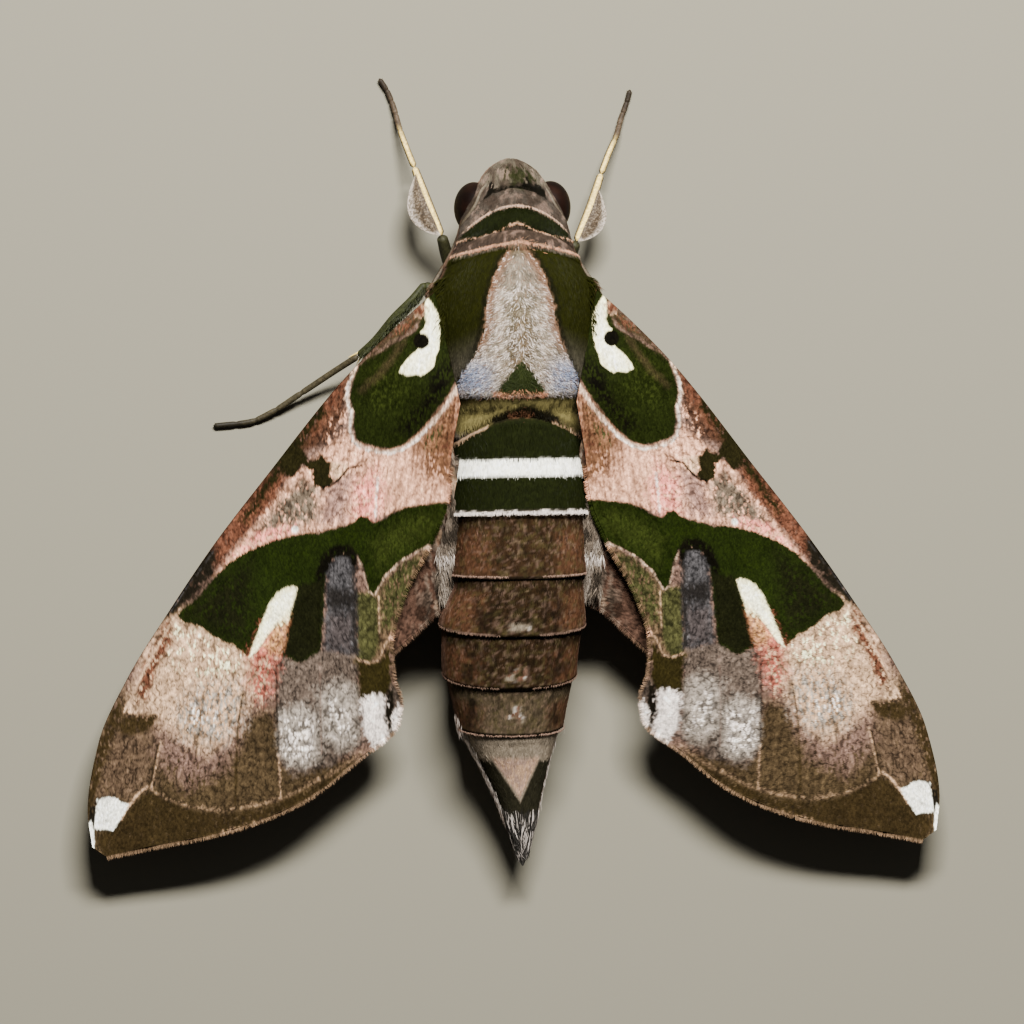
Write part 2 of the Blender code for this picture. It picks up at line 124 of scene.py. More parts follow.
# %% Smooth curves through knots
def through(knots, values, at):
    """A curve through the knots that never overshoots them: cubic pieces whose slopes are harmonic means."""
    knots, values = np.asarray(knots, float), np.asarray(values, float)
    if knots[0] > knots[-1]:
        knots, values = knots[::-1], values[::-1]
    steps = np.diff(knots)
    rises = np.diff(values) / steps
    slopes = np.zeros_like(values)
    with np.errstate(divide="ignore", invalid="ignore"):
        means = 2 / (1 / rises[1:] + 1 / rises[:-1])
    slopes[1:-1] = np.where(rises[1:] * rises[:-1] > 0, means, 0.0)
    slopes[0], slopes[-1] = rises[0], rises[-1]
    at = np.clip(at, knots[0], knots[-1])
    piece = np.clip(np.searchsorted(knots, at, side="right") - 1, 0, len(steps) - 1)
    width = steps[piece]
    u = (at - knots[piece]) / width
    here = (1 + 2 * u) * (1 - u) ** 2 * values[piece] + u * (1 - u) ** 2 * width * slopes[piece]
    there = u * u * (3 - 2 * u) * values[piece + 1] + u * u * (u - 1) * width * slopes[piece + 1]
    return here + there


def along(points, fractions):
    """Places on a smooth line through the points, at fractions of its length."""
    points = np.asarray(points, float)
    run = np.concatenate([[0.0], np.cumsum(np.linalg.norm(np.diff(points, axis=0), axis=1))])
    at = np.asarray(fractions) * run[-1]
    return np.stack([through(run, points[:, axis], at) for axis in range(points.shape[1])], axis=-1)


def ramp(low, high, value):
    """0 below low, 1 above high, and a smooth S between: 3t^2 - 2t^3. With high before low it falls."""
    t = np.clip((np.asarray(value, float) - low) / (high - low), 0, 1)
    return t * t * (3 - 2 * t)


def bell(value, middle, width):
    """1 at the middle, falling away on both sides: exp(-((value - middle) / width)^2)."""
    return np.exp(-(((value - middle) / width) ** 2))


# %% Noise from a hashed lattice
def lattice(i, j, seed):
    """A number between 0 and 1 for each pair of whole numbers, by mixing their bits."""
    with np.errstate(over="ignore"):
        n = i.astype(np.uint32) * np.uint32(374761393) + j.astype(np.uint32) * np.uint32(668265263)
        n = n + np.uint32(seed * 974711 + 12345)
        n = (n ^ (n >> np.uint32(13))) * np.uint32(1274126177)
        n = (n ^ (n >> np.uint32(15))) * np.uint32(2246822519)
    return ((n ^ (n >> np.uint32(16))) & np.uint32(0xFFFFFF)).astype(float) / 0xFFFFFF


def noise(x, y, size, seed, size_y=None):
    """Smooth noise between 0 and 1: values at the corners of cells of this size, blended across each cell."""
    fx, fy = np.asarray(x, float) / size, np.asarray(y, float) / (size_y or size)
    i, j = np.floor(fx).astype(np.int64), np.floor(fy).astype(np.int64)
    u, v = fx - i, fy - j
    u, v = u * u * (3 - 2 * u), v * v * (3 - 2 * v)
    low = lattice(i, j, seed) * (1 - u) + lattice(i + 1, j, seed) * u
    high = lattice(i, j + 1, seed) * (1 - u) + lattice(i + 1, j + 1, seed) * u
    return low * (1 - v) + high * v


def per_scale(x, y, across, along_y, seed):
    """One number between 0 and 1 for each scale: cells in staggered rows, each with a hashed value."""
    row = np.floor(np.asarray(y, float) / along_y + 0.6 * noise(x, y, 3 * across, seed + 7)).astype(np.int64)
    column = np.floor(np.asarray(x, float) / across + 0.5 * (row & 1)).astype(np.int64)
    return lattice(column, row, seed)


# %% [markdown]
# ## Pigments
# The colours are those of the dry scales, as shares of the light they send back, in linear red, green and blue. The
# dark greens send back a hundredth or two at most: it is the pale scales beside them that make them look green. A few
# masks on the body and one line on the forewing use these pigments to paint shade, light or a glint; each is marked
# where it is laid.

# %% The pigments, and how they are laid over one another
PIGMENTS = {
    "deep green": (0.0068, 0.0096, 0.0014), "band green": (0.0062, 0.01, 0.0011),
    "inner green": (0.014, 0.019, 0.003), "near black": (0.0022, 0.0018, 0.0008), "white": (0.96, 0.94, 0.8),
    "cream": (0.94, 0.87, 0.5), "ivory": (0.94, 0.9, 0.62), "salmon": (0.125, 0.058, 0.029),
    "pale pink": (0.56, 0.285, 0.175), "rose": (0.68, 0.215, 0.165), "grey pink": (0.23, 0.13, 0.1),
    "khaki": (0.105, 0.078, 0.054), "red brown": (0.085, 0.032, 0.0175), "speckle brown": (0.046, 0.0215, 0.0125),
    "slate": (0.0066, 0.0052, 0.003), "olive brown": (0.0085, 0.0072, 0.002), "apricot": (0.42, 0.21, 0.085),
    "wedge pink": (0.27, 0.0736, 0.0496), "block green": (0.0046, 0.005, 0.0013),
    "streak grey": (0.044, 0.041, 0.0415), "streak dark": (0.012, 0.0103, 0.0092),
    "streak low": (0.039, 0.0315, 0.03), "plum brown": (0.066, 0.0485, 0.037), "lavender": (0.225, 0.19, 0.155),
    "snow": (0.8, 0.7, 0.62), "dark olive": (0.0155, 0.0118, 0.003), "olive": (0.0338, 0.0334, 0.0115),
    "olive rust": (0.0783, 0.0492, 0.0268), "distal white": (0.38, 0.24, 0.1419),
    "distal brown": (0.13, 0.078, 0.058), "terminal brown": (0.04, 0.0265, 0.013),
    "costal olive": (0.03, 0.0215, 0.01), "margin brown": (0.02, 0.013, 0.0048), "outer brown": (0.066, 0.042, 0.025),
    "hindwing plum": (0.0575, 0.031, 0.0207), "hindwing grey": (0.125, 0.098, 0.073),
    "face grey": (0.058, 0.0478, 0.033), "crown grey": (0.0348, 0.0277, 0.0211),
    "collar grey": (0.026, 0.0176, 0.0123), "tegula green": (0.0072, 0.0077, 0.0005),
    "tegula grey": (0.0351, 0.0306, 0.0208), "crest white": (0.2268, 0.1858, 0.1378),
    "crest tan": (0.16, 0.085, 0.05), "crest blue": (0.2052, 0.2526, 0.374),
    "scutellum green": (0.018, 0.0235, 0.0065), "hind olive": (0.042, 0.035, 0.0125),
    "abdomen green": (0.005, 0.0066, 0.0011), "abdomen brown": (0.0187, 0.0099, 0.0043),
    "rust": (0.06, 0.027, 0.0135), "abdomen dark": (0.0141, 0.0078, 0.0033), "tail brown": (0.049, 0.036, 0.021),
    "tail grey": (0.205, 0.166, 0.12), "tail pink": (0.324, 0.2072, 0.1546), "tuft grey": (0.0252, 0.0233, 0.0202),
    "pink line": (0.52, 0.235, 0.135), "line cream": (0.5, 0.34, 0.235), "belly": (0.105, 0.062, 0.044),
    "leg cream": (0.72, 0.53, 0.16), "leg olive": (0.0205, 0.0198, 0.0078), "leg brown": (0.05, 0.034, 0.02),
    "horn": (0.115, 0.075, 0.048),
}


def flat(name, *shape):
    """One pigment for each place of this shape."""
    return np.broadcast_to(PIGMENTS[name], (*shape, 3))


def mix(base, *layers):
    """Lays pigments over a base, given as name, mask, name, mask ...: the base where a mask is 0, the pigment at 1."""
    for name, mask in zip(layers[::2], layers[1::2]):
        mask = np.clip(np.asarray(mask, float), 0, 1)[..., None]
        base = base * (1 - mask) + np.array(PIGMENTS[name]) * mask
    return base


def between(value, low, high, soft=0.12):
    """A mask that is 1 from low to high, with edges of this softness."""
    return ramp(-soft, soft, value - np.asarray(low, float)) * ramp(-soft, soft, np.asarray(high, float) - value)


# %% [markdown]
# ## The finish of scales
# Scales are flat, ribbed and dry: they scatter light softly, shine very little, and each is a slightly different
# tone. The pigment is stored on a piece's points and read as an attribute. A node group that every scaled surface
# shares adds what is too fine for points: a tone for each scale, and the height of the overlapping rows for a Bump.


# %% Nodes, wires and materials
def add_node(tree, kind, values=None, **settings):
    """A shader node of this kind, with its settings and the values of its inputs."""
    node = tree.nodes.new("ShaderNode" + kind)
    for key, value in settings.items():
        setattr(node, key, value)
    for key, value in (values or {}).items():
        node.inputs[key].default_value = value
    return node


def wire(tree, *wires):
    """Joins nodes; each wire is a node, its output, another node and its input."""
    for source, output, target, entry in wires:
        tree.links.new(source.outputs[output], target.inputs[entry])


def new_material(name, values):
    """A material, its node tree, and its Principled shader with these inputs set."""
    material = bpy.data.materials.new(name)
    material.use_nodes = True
    shader = material.node_tree.nodes["Principled BSDF"]
    for key, value in values.items():
        shader.inputs[key].default_value = value
    return material, material.node_tree, shader


# %% The scale-row node group
def make_scale_group():
    """Voronoi cells, stretched into rows of scales: a tone for each, and the height of its raised rear edge."""
    group = bpy.data.node_groups.new("scale rows", "ShaderNodeTree")
    for name, value in (("Across", 9000.0), ("Along", 5000.0), ("Contrast", 0.3)):
        group.interface.new_socket(name, in_out="INPUT", socket_type="NodeSocketFloat").default_value = value
    for name in ("Tone", "Height"):
        group.interface.new_socket(name, in_out="OUTPUT", socket_type="NodeSocketFloat")
    given, out = group.nodes.new("NodeGroupInput"), group.nodes.new("NodeGroupOutput")
    place, stretch = add_node(group, "TexCoord"), add_node(group, "CombineXYZ")
    scaled = add_node(group, "VectorMath", operation="MULTIPLY")
    cells, grey = add_node(group, "TexVoronoi", {"Scale": 1.0}), add_node(group, "SeparateColor")
    centred = add_node(group, "Math", {1: 0.5}, operation="SUBTRACT")
    tone = add_node(group, "Math", {2: 1.0}, operation="MULTIPLY_ADD")
    height = add_node(group, "Math", {1: -0.7}, operation="MULTIPLY_ADD")
    wire(group, (given, "Across", stretch, "X"), (given, "Along", stretch, "Y"), (given, "Across", stretch, "Z"),
         (place, "Object", scaled, 0), (stretch, "Vector", scaled, 1), (scaled, "Vector", cells, "Vector"),
         (cells, "Color", grey, "Color"), (grey, "Red", centred, 0), (centred, "Value", tone, 0),
         (given, "Contrast", tone, 1), (tone, "Value", out, "Tone"),
         (cells, "Distance", height, 0), (grey, "Green", height, 2), (height, "Value", out, "Height"))
    return group


SCALE_ROWS = make_scale_group()
RELIEF_DEPTH = 0.00003


# %% Materials that read the pigment
def scaled_material(name, across, along_rows, contrast, roughness, relief, gloss=0.03):
    """Pigment times the tone of each scale, matt, with the rows of scales as a bump."""
    material, tree, shader = new_material(name, {"Roughness": roughness, "Specular IOR Level": gloss})
    own = add_node(tree, "Attribute", attribute_name="pigment")
    rows = add_node(tree, "Group", node_tree=SCALE_ROWS)
    for key, value in (("Across", 1 / (across * MM)), ("Along", 1 / (along_rows * MM)), ("Contrast", contrast)):
        rows.inputs[key].default_value = value
    toned = add_node(tree, "VectorMath", operation="SCALE")
    wire(tree, (own, "Color", toned, 0), (rows, "Tone", toned, "Scale"), (toned, "Vector", shader, "Base Color"))
    if relief:
        bump = add_node(tree, "Bump", {"Strength": relief, "Distance": RELIEF_DEPTH})
        wire(tree, (rows, "Height", bump, "Height"), (bump, "Normal", shader, "Normal"))
    return material


WING_FINISH = scaled_material("wing scales", 0.11, 0.20, 0.5, 0.75, 0.55, 0.02)
SKIN_FINISH = scaled_material("body skin", 0.10, 0.30, 0.5, 0.8, 0.4)
HAIR_FINISH = scaled_material("hair scales", 0.06, 0.9, 0.35, 0.62, 0, 0.04)
LEG_FINISH = scaled_material("leg scales", 0.10, 0.16, 0.5, 0.6, 0.5, 0.15)
print("finishes:", [finish.name for finish in (WING_FINISH, SKIN_FINISH, HAIR_FINISH, LEG_FINISH)])

# %% [markdown]
# ## The body as one skin
# Head, collar, thorax and abdomen are one flesh, so one closed skin stands for all of their solids. At each station
# it is a superellipse: `|x/a|^2.2 + |z/b|^2.2 = 1`. The stations bend back at the sides and lean, because the rings
# of a moth overlap like that. The skin lies inside the solids by the depth of the coat, which brings it back to full
# size: shallow where a ring of the abdomen swells towards its rear edge and on the tegulae, the two raised flaps on
# the shoulders, and deep in the partings between.

# %% What the body measures
BODY = (  # station, top, underside, half width, midline
    (23.6, 7.1, 4.3, 1.55, 0.2), (23, 7.6, 4.2, 1.95, 0.2), (22.3, 8.05, 4.2, 2.5, 0.2), (21.7, 8.5, 4.2, 3.05, 0.2),
    (20.8, 9.1, 4, 3.85, 0.2), (20, 9.5, 3.6, 4.3, 0.2), (19.4, 9.8, 3.45, 4.55, 0.2), (18.3, 10.4, 3.2, 4.95, 0.15),
    (16.6, 11.3, 2.7, 5.5, 0.1), (14, 12.3, 2.2, 6.15, 0.1), (11, 12.8, 2, 6.1, 0.1), (8, 12.6, 2, 5.95, 0.1),
    (6, 12, 2.1, 5.6, 0.1), (5, 11.3, 2.2, 5.2, 0.15), (4, 10.8, 2.1, 5.1, 0.2), (2, 10.9, 1.7, 5.35, 0.25),
    (-2, 11, 1.4, 5.4, 0.3), (-8, 10.8, 1.2, 5.2, 0.25), (-12, 10.3, 1.2, 5.6, -0.2), (-16, 9.4, 1.3, 5.2, -0.45),
    (-20, 7.9, 1.7, 4, -0.4), (-23, 6.4, 2.1, 2.7, -0.05), (-26, 5.1, 2.5, 1.5, 0.3), (-29.9, 3.7, 3, 0.4, 0.5),
)
STATION, TOP, UNDER, HALF, MIDLINE = zip(*BODY)
BEND_Y, BEND = (23.6, 21, 19.2, 16.9, 13, 9), (0, 0.015, 0.06, 0.04, 0.015, 0)
LEAN_Y = (23.6, 22.5, 21.4, 19.8, 16.9, 13, 9, -5, -12, -16, -20, -29.9)
LEAN = (0.1, 0.5, 1.3, 2.2, 0.8, 0.3, 0, 0, -1.8, -2.4, -1.4, -0.3)
FACE_END = 23.5  # where the face closes
PARTINGS = (4.0, -3.25, -8.0, -12.45, -16.45, -19.95)  # the rear edges of the rings that show
RING_EDGES = np.array(sorted((*PARTINGS, -26.5)))
TEGULA_INNER = ((5.3, 6), (4.8, 7), (4.4, 7.8), (3.75, 8.8), (3.35, 9.5), (2.95, 10.5), (2.85, 11.5), (2.65, 12.8),
                (2.35, 13.8), (1.95, 14.8), (1.35, 15.8), (0.6, 16.9))  # from the midline, and y


def tegula_inner(y):
    lateral, knots = zip(*TEGULA_INNER)
    return np.interp(y, knots, lateral)


def half_width(station):
    return through(STATION, HALF, station)


def squareness(station):
    """Exponent of the superellipse: 2.2 along the body, and squarer over the head, where scales fill it out."""
    return 2.2 + 0.6 * ramp(18.0, 19.8, station) * ramp(23.4, 22.0, station)


def body_surface(station, turn, inset=0.0):
    """The body's outer shape: a superellipse at each station, turned from the top, shrunk by the inset."""
    top, under = through(STATION, TOP, station), through(STATION, UNDER, station)
    front = np.sqrt(np.clip(1 - np.clip((station - FACE_END + 1.15) / 1.15, 0, 1) ** 2.4, 0, 1))
    tail = np.sqrt(np.clip(1 - np.clip((-28.9 - station) / 0.95, 0, 1) ** 2, 0, 1))
    round_off = np.maximum(front * tail, 1e-4)
    tall = np.maximum((top - under) / 2 - inset, 0.12) * round_off
    across = np.maximum(half_width(station) - inset, 0.12) * round_off
    s, c, power = np.sin(turn), np.cos(turn), 2 / squareness(station)
    x = across * np.sign(s) * np.abs(s) ** power
    z = (top + under) / 2 + tall * np.sign(c) * np.abs(c) ** power
    lean = through(LEAN_Y, LEAN, station) * (1 - (z - under) / (top - under))
    y = station - through(BEND_Y, BEND, station) * x * x - lean
    return np.stack([x + through(STATION, MIDLINE, station), y, z], axis=-1)


def lateral_of(station, turn):
    """How far a place of the body is from the midline, and its x and y."""
    place = body_surface(station, turn)
    return np.abs(place[..., 0] - through(STATION, MIDLINE, station)), place[..., 0], place[..., 1]


# %% How deep the skin lies
def skin_depth(station, turn):
    """Depth under the coat: shallow at each ring's rear edge and on the tegulae, deep in the partings."""
    lateral, _, y = lateral_of(station, turn)
    over, upper = np.cos(turn), np.cos(turn) > 0.1
    index = np.clip(np.searchsorted(RING_EDGES, station, side="right"), 1, len(RING_EDGES) - 1)
    in_ring = np.clip((RING_EDGES[index] - station) / (RING_EDGES[index] - RING_EDGES[index - 1]), 0, 1)
    depth = 0.24 + 0.16 * over
    depth += ramp(4.2, 3.6, station) * ramp(-27.5, -25.5, station) * (0.12 - 0.30 * in_ring ** 2)
    flap = ramp(-0.05, 0.25, lateral - tegula_inner(y)) * upper * ramp(16.9, 16.5, y) * ramp(5.2, 6.6, y)
    depth += 0.22 * (1 - flap) * ramp(17.2, 16.4, station) * ramp(3.5, 4.3, station)
    for edge in (18.45, 16.95):
        depth += 0.22 * bell(station, edge - 0.25, 0.22) * upper
    depth -= 0.15 * ramp(8.0, 9.5, station) * ramp(16.2, 15.2, station) * ramp(0.75, 0.25, np.abs(over))
    waist = bell(station + 0.06 * lateral ** 2, 4.05, 0.20) * upper
    slit = bell(y + 0.14 * lateral ** 2, 21.45, 0.13) * ramp(2.6, 1.6, lateral) * (over > 0)
    between_palps = bell(lateral, 0, 0.22) * ramp(21.3, 22.0, station) * ramp(0.75, 0.35, over)
    return depth + 0.25 * waist + 0.35 * slit + 0.5 * between_palps


def body_skin(station, turn):
    return body_surface(station, turn, skin_depth(station, turn))


# %% [markdown]
# ## Markings of the body
# The markings are named areas in the body's own measures: `lateral`, the distance from the midline; `station`,
# which follows the rings; and `turn`, the angle from the top. Noise is added to every boundary, because the edge of
# a marking is an edge between scales and never a clean line. Some of the dark ones are painted shade: the slit of the
# face, the strip beside the crest, the gap at the waist, the strip under each ring's edge, and partly the bands on the
# sides. One is painted light: the olive band behind the crest is brightened against the shade of its hem.


# %% Lines of the head
def crown_line(lateral):
    return 20.0 - 0.125 * lateral ** 2


def face_slit(x):
    return 21.35 - 0.14 * (x - 0.2) ** 2


def collar_line(lateral):
    return np.interp(lateral, (0, 0.5, 1.8, 2.6, 3.6, 4.6, 6), (18.62, 18.5, 18.0, 17.7, 17.42, 17.12, 16.7))


def shoulder_line(lateral):
    return np.interp(lateral, (0, 0.6, 0.95, 1.95, 3.45, 4.45, 5.65), (17.15, 17.08, 16.97, 16.85, 16.45, 16.2, 15.8))


def paint_front(colour, x, lateral, y, fray, lines):
    """Crown of the head and collar, from the face back to the shoulders."""
    head, face, blotch = between(y, 18, 30), between(y, 21.2, 30), noise(x, y, 0.40, 46)
    patch = np.exp(-(((x - 0.62) / 1.5) ** 2) - ((y - 22.05) / 0.85) ** 2)
    slit = face_slit(x)
    ragged = (0.16 + 0.75 * ramp(0.7, 1.3, np.abs(x - 0.1))) * noise(x, y * 0 + 1, 0.45, 48)
    crown, collar, shoulder = crown_line(lateral), collar_line(lateral), shoulder_line(lateral)
    band = between(y, collar, crown, 0.06)
    colour = mix(
        colour, "face grey", face, "crown grey", 0.7 * face * (fray > 0.6),
        "collar grey", 0.75 * head * ramp(0.46, 0.64, blotch), "tail pink", 0.20 * head * ramp(0.34, 0.15, blotch),
        "deep green", 0.85 * ramp(0.45, 0.7, patch + 0.9 * (fray - 0.5)),
        # painted shadow: near black along the slit between face and crown, the shade in that groove
        "near black", between(y, slit - 0.06, slit + 0.10 + ragged, 0.08) * (lateral < 2.6) * (fray > 0.12),
        "abdomen green", band) * (1 - 0.2 * band)[..., None]
    freckle = ramp(0.36, 0.18, noise(x, y, 0.30, 47))
    colour = mix(colour, "collar grey", between(y, shoulder, collar, 0.06),
                 "tail pink", 0.22 * between(y, shoulder, collar) * freckle)
    for line, thick in ((crown, 0.05), (collar, 0.04), (shoulder, 0.06)) if lines else ():
        ragged = thick * (0.4 + 1.2 * fray)
        colour = mix(colour, "line cream", between(y, line - ragged, line + ragged, 0.05) * (0.45 + 0.55 * fray))
    return colour


def paint_thorax(colour, lateral, y, fray, grain):
    """Dark green flaps over the shoulders, and the pale crest between them with its green triangle behind."""
    inner = tegula_inner(y) + 0.25 * (fray - 0.5)
    behind = between(y, 5.4, shoulder_line(lateral) - 0.05, 0.08)
    crest = mix(
        flat("crest white", *y.shape),
        "crest tan", 0.75 * between(inner - lateral, -1, 0.75, 0.45) * between(y, 9.5, 20, 2.0),
        "crest tan", 0.55 * between(lateral, -1, 0.75, 0.5) * between(y, 7.6, 11.2, 1.0),
        "crest blue", 0.7 * between(y, 5.9, 8.1, 0.9) * between(lateral, 2.5, 9, 1.1),
        "hind olive", 0.5 * between(lateral, -1, 0.9, 0.4) * between(y, 7.8, 13.5, 1.2),
        "hind olive", 0.8 * ramp(15.8, 16.6, y), "tegula grey", 0.5 * (grain > 0.74) * (y > 8.4),
        "snow", 0.35 * (grain < 0.18) * (y < 14))
    crest = crest * (1 - 0.17 * ramp(13.0, 14.6, y) + 0.2 * between(y, 8.8, 12.6, 0.8) * (lateral < 2))[..., None]
    colour = mix(colour, "crest white", behind)
    colour = colour * (1 - behind[..., None]) + crest * behind[..., None]
    flap = mix(flat("tegula green", *y.shape),
               "tegula grey", between(y, 4, 11.3 - 0.5 * lateral, 1.6) * between(lateral, 2.6, 6.5, 0.7))
    mask = (ramp(-0.08, 0.08, lateral - inner) * behind)[..., None]
    hem = between(y, 5.25 + 0.06 * lateral ** 2, 5.65 + 0.09 * lateral ** 2, 0.08) * (lateral < 2.1)
    return mix(
        colour * (1 - mask) + flap * mask,
        # painted shadow: near black on each flap just outside its inner edge, the shade beside the raised crest
        "near black", 0.6 * between(lateral - inner, 0.08, 0.42, 0.12) * between(y, 8.8, 16.4, 0.8),
        "crest tan", 0.8 * between(lateral - inner, -0.28, 0.05, 0.1) * behind * (y > 9) * (fray > 0.35),
        "scutellum green", between(y, 5.75, 8.3 - 1.18 * lateral, 0.12) * (lateral < 2.4),
        "pink line", hem * (0.5 + 0.5 * fray))


def paint_abdomen(colour, lateral, station, turn, fray, grain, lines):
    """Two green rings parted by a white belt, then brown rings with a pale hind edge, paler towards the tail."""
    def cloud(size, seed, low, high):
        return ramp(low, high, noise(turn * 5, station, size, seed))

    s = station + 0.12 * (fray - 0.5)
    sided = lateral * np.sign(turn) - 0.4
    arch = 0.06 * sided ** 2
    colour = mix(colour, "hind olive", between(s, 3.0, 5.62))
    colour = mix(
        # painted light: the olive band behind the crest is made up to 2.4 times brighter, against the shade of the
        # crest's hem
        colour * (1 + 1.4 * between(s, 4.5 - arch, 5.62, 0.2) * (0.4 + 0.6 * (lateral > 0.5)))[..., None],
        "near black", 0.7 * between(s, 4.3, 5.62, 0.2) * cloud(0.3, 45, 0.52, 0.74),
        # painted shadow: near black in the gap at the waist between thorax and abdomen, arched like the ring's front
        # edge
        "near black", 0.95 * between(s, 3.85 - arch, 4.75 - 1.5 * arch, 0.1) * (np.abs(sided) < 2.9),
        "rust", 0.8 * between(station, 3.9, 4.4, 0.1) * (lateral < 1.1) * (grain > 0.45),
        "abdomen green", between(s, -3.0, 3.9 - arch),
        "distal white", 0.6 * between(s, 3.85 - arch, 4.05 - arch, 0.06) * (lateral > 2.7),
        "white", between(s, -0.40, 0.87, 0.1))
    browns = (("abdomen brown", -8.0, -3.2), ("abdomen dark", -12.45, -8.0), ("abdomen dark", -16.45, -12.45),
              ("tail brown", -19.95, -16.45), ("tail grey", -30.0, -19.95))
    for name, rear, front in browns:
        rusty = between(station, rear + 0.15, front - 1.2, 0.5) * ramp(2.0, 3.9, lateral + 0.8 * (grain - 0.5))
        colour = mix(colour, name, between(station, rear, front, 0.08), "rust", (0.85 if front > -17 else 0.25) * rusty)
    mottle = between(station, -19.8, -3.4, 0.2) + 0.3 * between(station, -26.0, -19.8, 0.2)
    # partly pigment and partly painted shade: near-black bands on the sides of the middle rings, where the body turns
    # from the light
    dark_and_shaded_sides = sum(between(station, rear, front, 0.5) * bell(lateral, *flank) for rear, front, flank in (
        (-12.3, -9.6, (2.9, 0.8)), (-16.2, -13.4, (3.6, 0.8)), (-19.6, -17.0, (3.4, 0.5))))
    colour = mix(
        colour, "hind olive", 0.4 * mottle * cloud(0.28, 41, 0.52, 0.72),
        "tail pink", 0.11 * mottle * cloud(0.20, 42, 0.62, 0.8),
        "near black", 0.45 * mottle * cloud(0.22, 43, 0.58, 0.74),
        "near black", 0.75 * dark_and_shaded_sides * cloud(0.5, 44, 0.2, 0.6))
    for centre, half, middle in ((-11.75, 0.28, 1.1), (-15.3, 0.5, 1.1), (-18.35, 0.65, 1.0)):
        spot = between(station, centre - half, centre + half, 0.12) * ramp(middle, middle - 0.5, lateral)
        spot = spot * ramp(0.35, 0.65, fray)
        colour = mix(colour, "tail grey", 0.6 * spot, "snow", 0.30 * spot * (grain > 0.80),
                     "red brown", 0.85 * spot * (grain < 0.45) * (centre < -12))
    # painted shade: a thin near-black strip just behind each parting, where the ring ahead overhangs; the pale hind
    # edges are pigment
    for edge in PARTINGS[1:]:
        wide = 0.20 if edge > -4 else 0.07
        pale = between(station, edge + 0.02, edge + 0.02 + wide * (0.7 + 0.8 * fray), 0.04)
        shown = 1 if edge in (-3.25, -19.95) else ramp(1.2, 3.0, lateral)
        colour = mix(colour, "snow" if edge > -4 else "tail pink", pale * shown * (0.35 + 0.6 * fray) * lines,
                     "near black", (0.1 + 0.25 * lines) * between(station, edge - 0.16, edge - 0.02, 0.06))
    triangle = between(station, -25.2, -21.7, 0.3) * ramp(0.1, -0.1, lateral - 0.72 * (station + 24.6))
    vee = between(station, -26.2, -21.9, 0.2) * ramp(-0.05, 0.2, lateral - 0.68 * (station + 24.85))
    return mix(colour, "tail pink", 0.85 * triangle, "distal white", 0.8 * triangle * (grain > 0.55),
               "block green", 0.95 * vee, "tuft grey", ramp(-25.6, -26.4, station))


def body_colour(station, turn, lines=True):
    """The pigment at each place of the body, from its station and its turn from the top, with or without pale lines."""
    lateral, x, y = lateral_of(station, turn)
    around, over = turn * 4.5, np.cos(turn)
    fray = noise(around, station, 0.28, 3)
    grain = per_scale(around, station, 0.16, 0.34, 5)
    colour = paint_front(flat("crown grey", *np.shape(station)), x, lateral, y, fray, lines)
    thorax = paint_thorax(colour, lateral, y, fray, grain)
    on_thorax = ramp(5.45, 5.65, station)[..., None]
    colour = paint_abdomen(colour, lateral, station, turn, fray, grain, lines) * (1 - on_thorax) + thorax * on_thorax
    flank = mix(flat("belly", *np.shape(station)), "rust", 0.6 * (grain > 0.5),
                "snow", between(over, -0.42, -0.05, 0.1) * between(station, -26, -19.5, 0.8) * (0.4 + 0.6 * fray),
                "crest white", 0.6 * ramp(-0.75, -0.95, over))
    hidden = (ramp(0.30, 0.05, over) * (1 - ramp(-26.0, -27.0, station)))[..., None]
    colour = colour * (1 - hidden) + flank * hidden
    return colour * (0.8 + 0.4 * per_scale(around, station, 0.11, 0.22, 11))[..., None]


# %% The skin itself
def build_body_skin(rows=400, columns=160, end=30):
    """A closed grid of stations by turns, with a fan to a pole at the face and one at the tail."""
    face = FACE_END - 1.2 * (1 - np.cos(np.linspace(0.03, np.pi / 2, end)))
    tail = -29.2 - 0.65 * np.sin(np.linspace(0.04, np.pi / 2, end))
    station = np.concatenate([face, np.linspace(face[-1] - 0.12, -29.2, rows - 2 * end), tail])
    turn = np.linspace(0, math.tau, columns, endpoint=False)
    s, a = (v.ravel() for v in np.meshgrid(station, np.where(turn > np.pi, turn - math.tau, turn), indexing="ij"))
    points, colours = body_skin(s, a), body_colour(s, a)
    poles = [points[:columns].mean(axis=0), points[-columns:].mean(axis=0)]
    add_piece("body_skin", np.concatenate([points, poles]), closed_tube(rows, columns), SKIN_FINISH, "body_fur",
              np.concatenate([colours, colours[[0, -1]]]),
              ("head", "palp_L", "palp_R", "collar", "thorax", "tegula_L", "tegula_R", "metathorax", "tail_tuft",
               *("abdomen_" + str(n) for n in range(1, 8))))


build_body_skin()

# %% [markdown]
# ## Tubes along a path
# Antennae, the proboscis and the legs are limbs of round section: a ring of points carried along a smooth path. The
# ring needs two directions square to the path. One is taken level, the other follows from it, and both turn little
# from step to step, so the tube doesn't twist.


# %% A ring carried along a path
def unit(vectors):
    return vectors / np.maximum(np.linalg.norm(vectors, axis=-1, keepdims=True), 1e-9)


def frames_along(path):
    """Direction of travel, a level direction across it, and one square to both, at each point of a path."""
    forward = unit(np.gradient(path, axis=0))
    across = unit(np.cross(forward, (0.0, 0.0, 1.0)) + (1e-6, 0, 0))
    return forward, across, np.cross(across, forward)


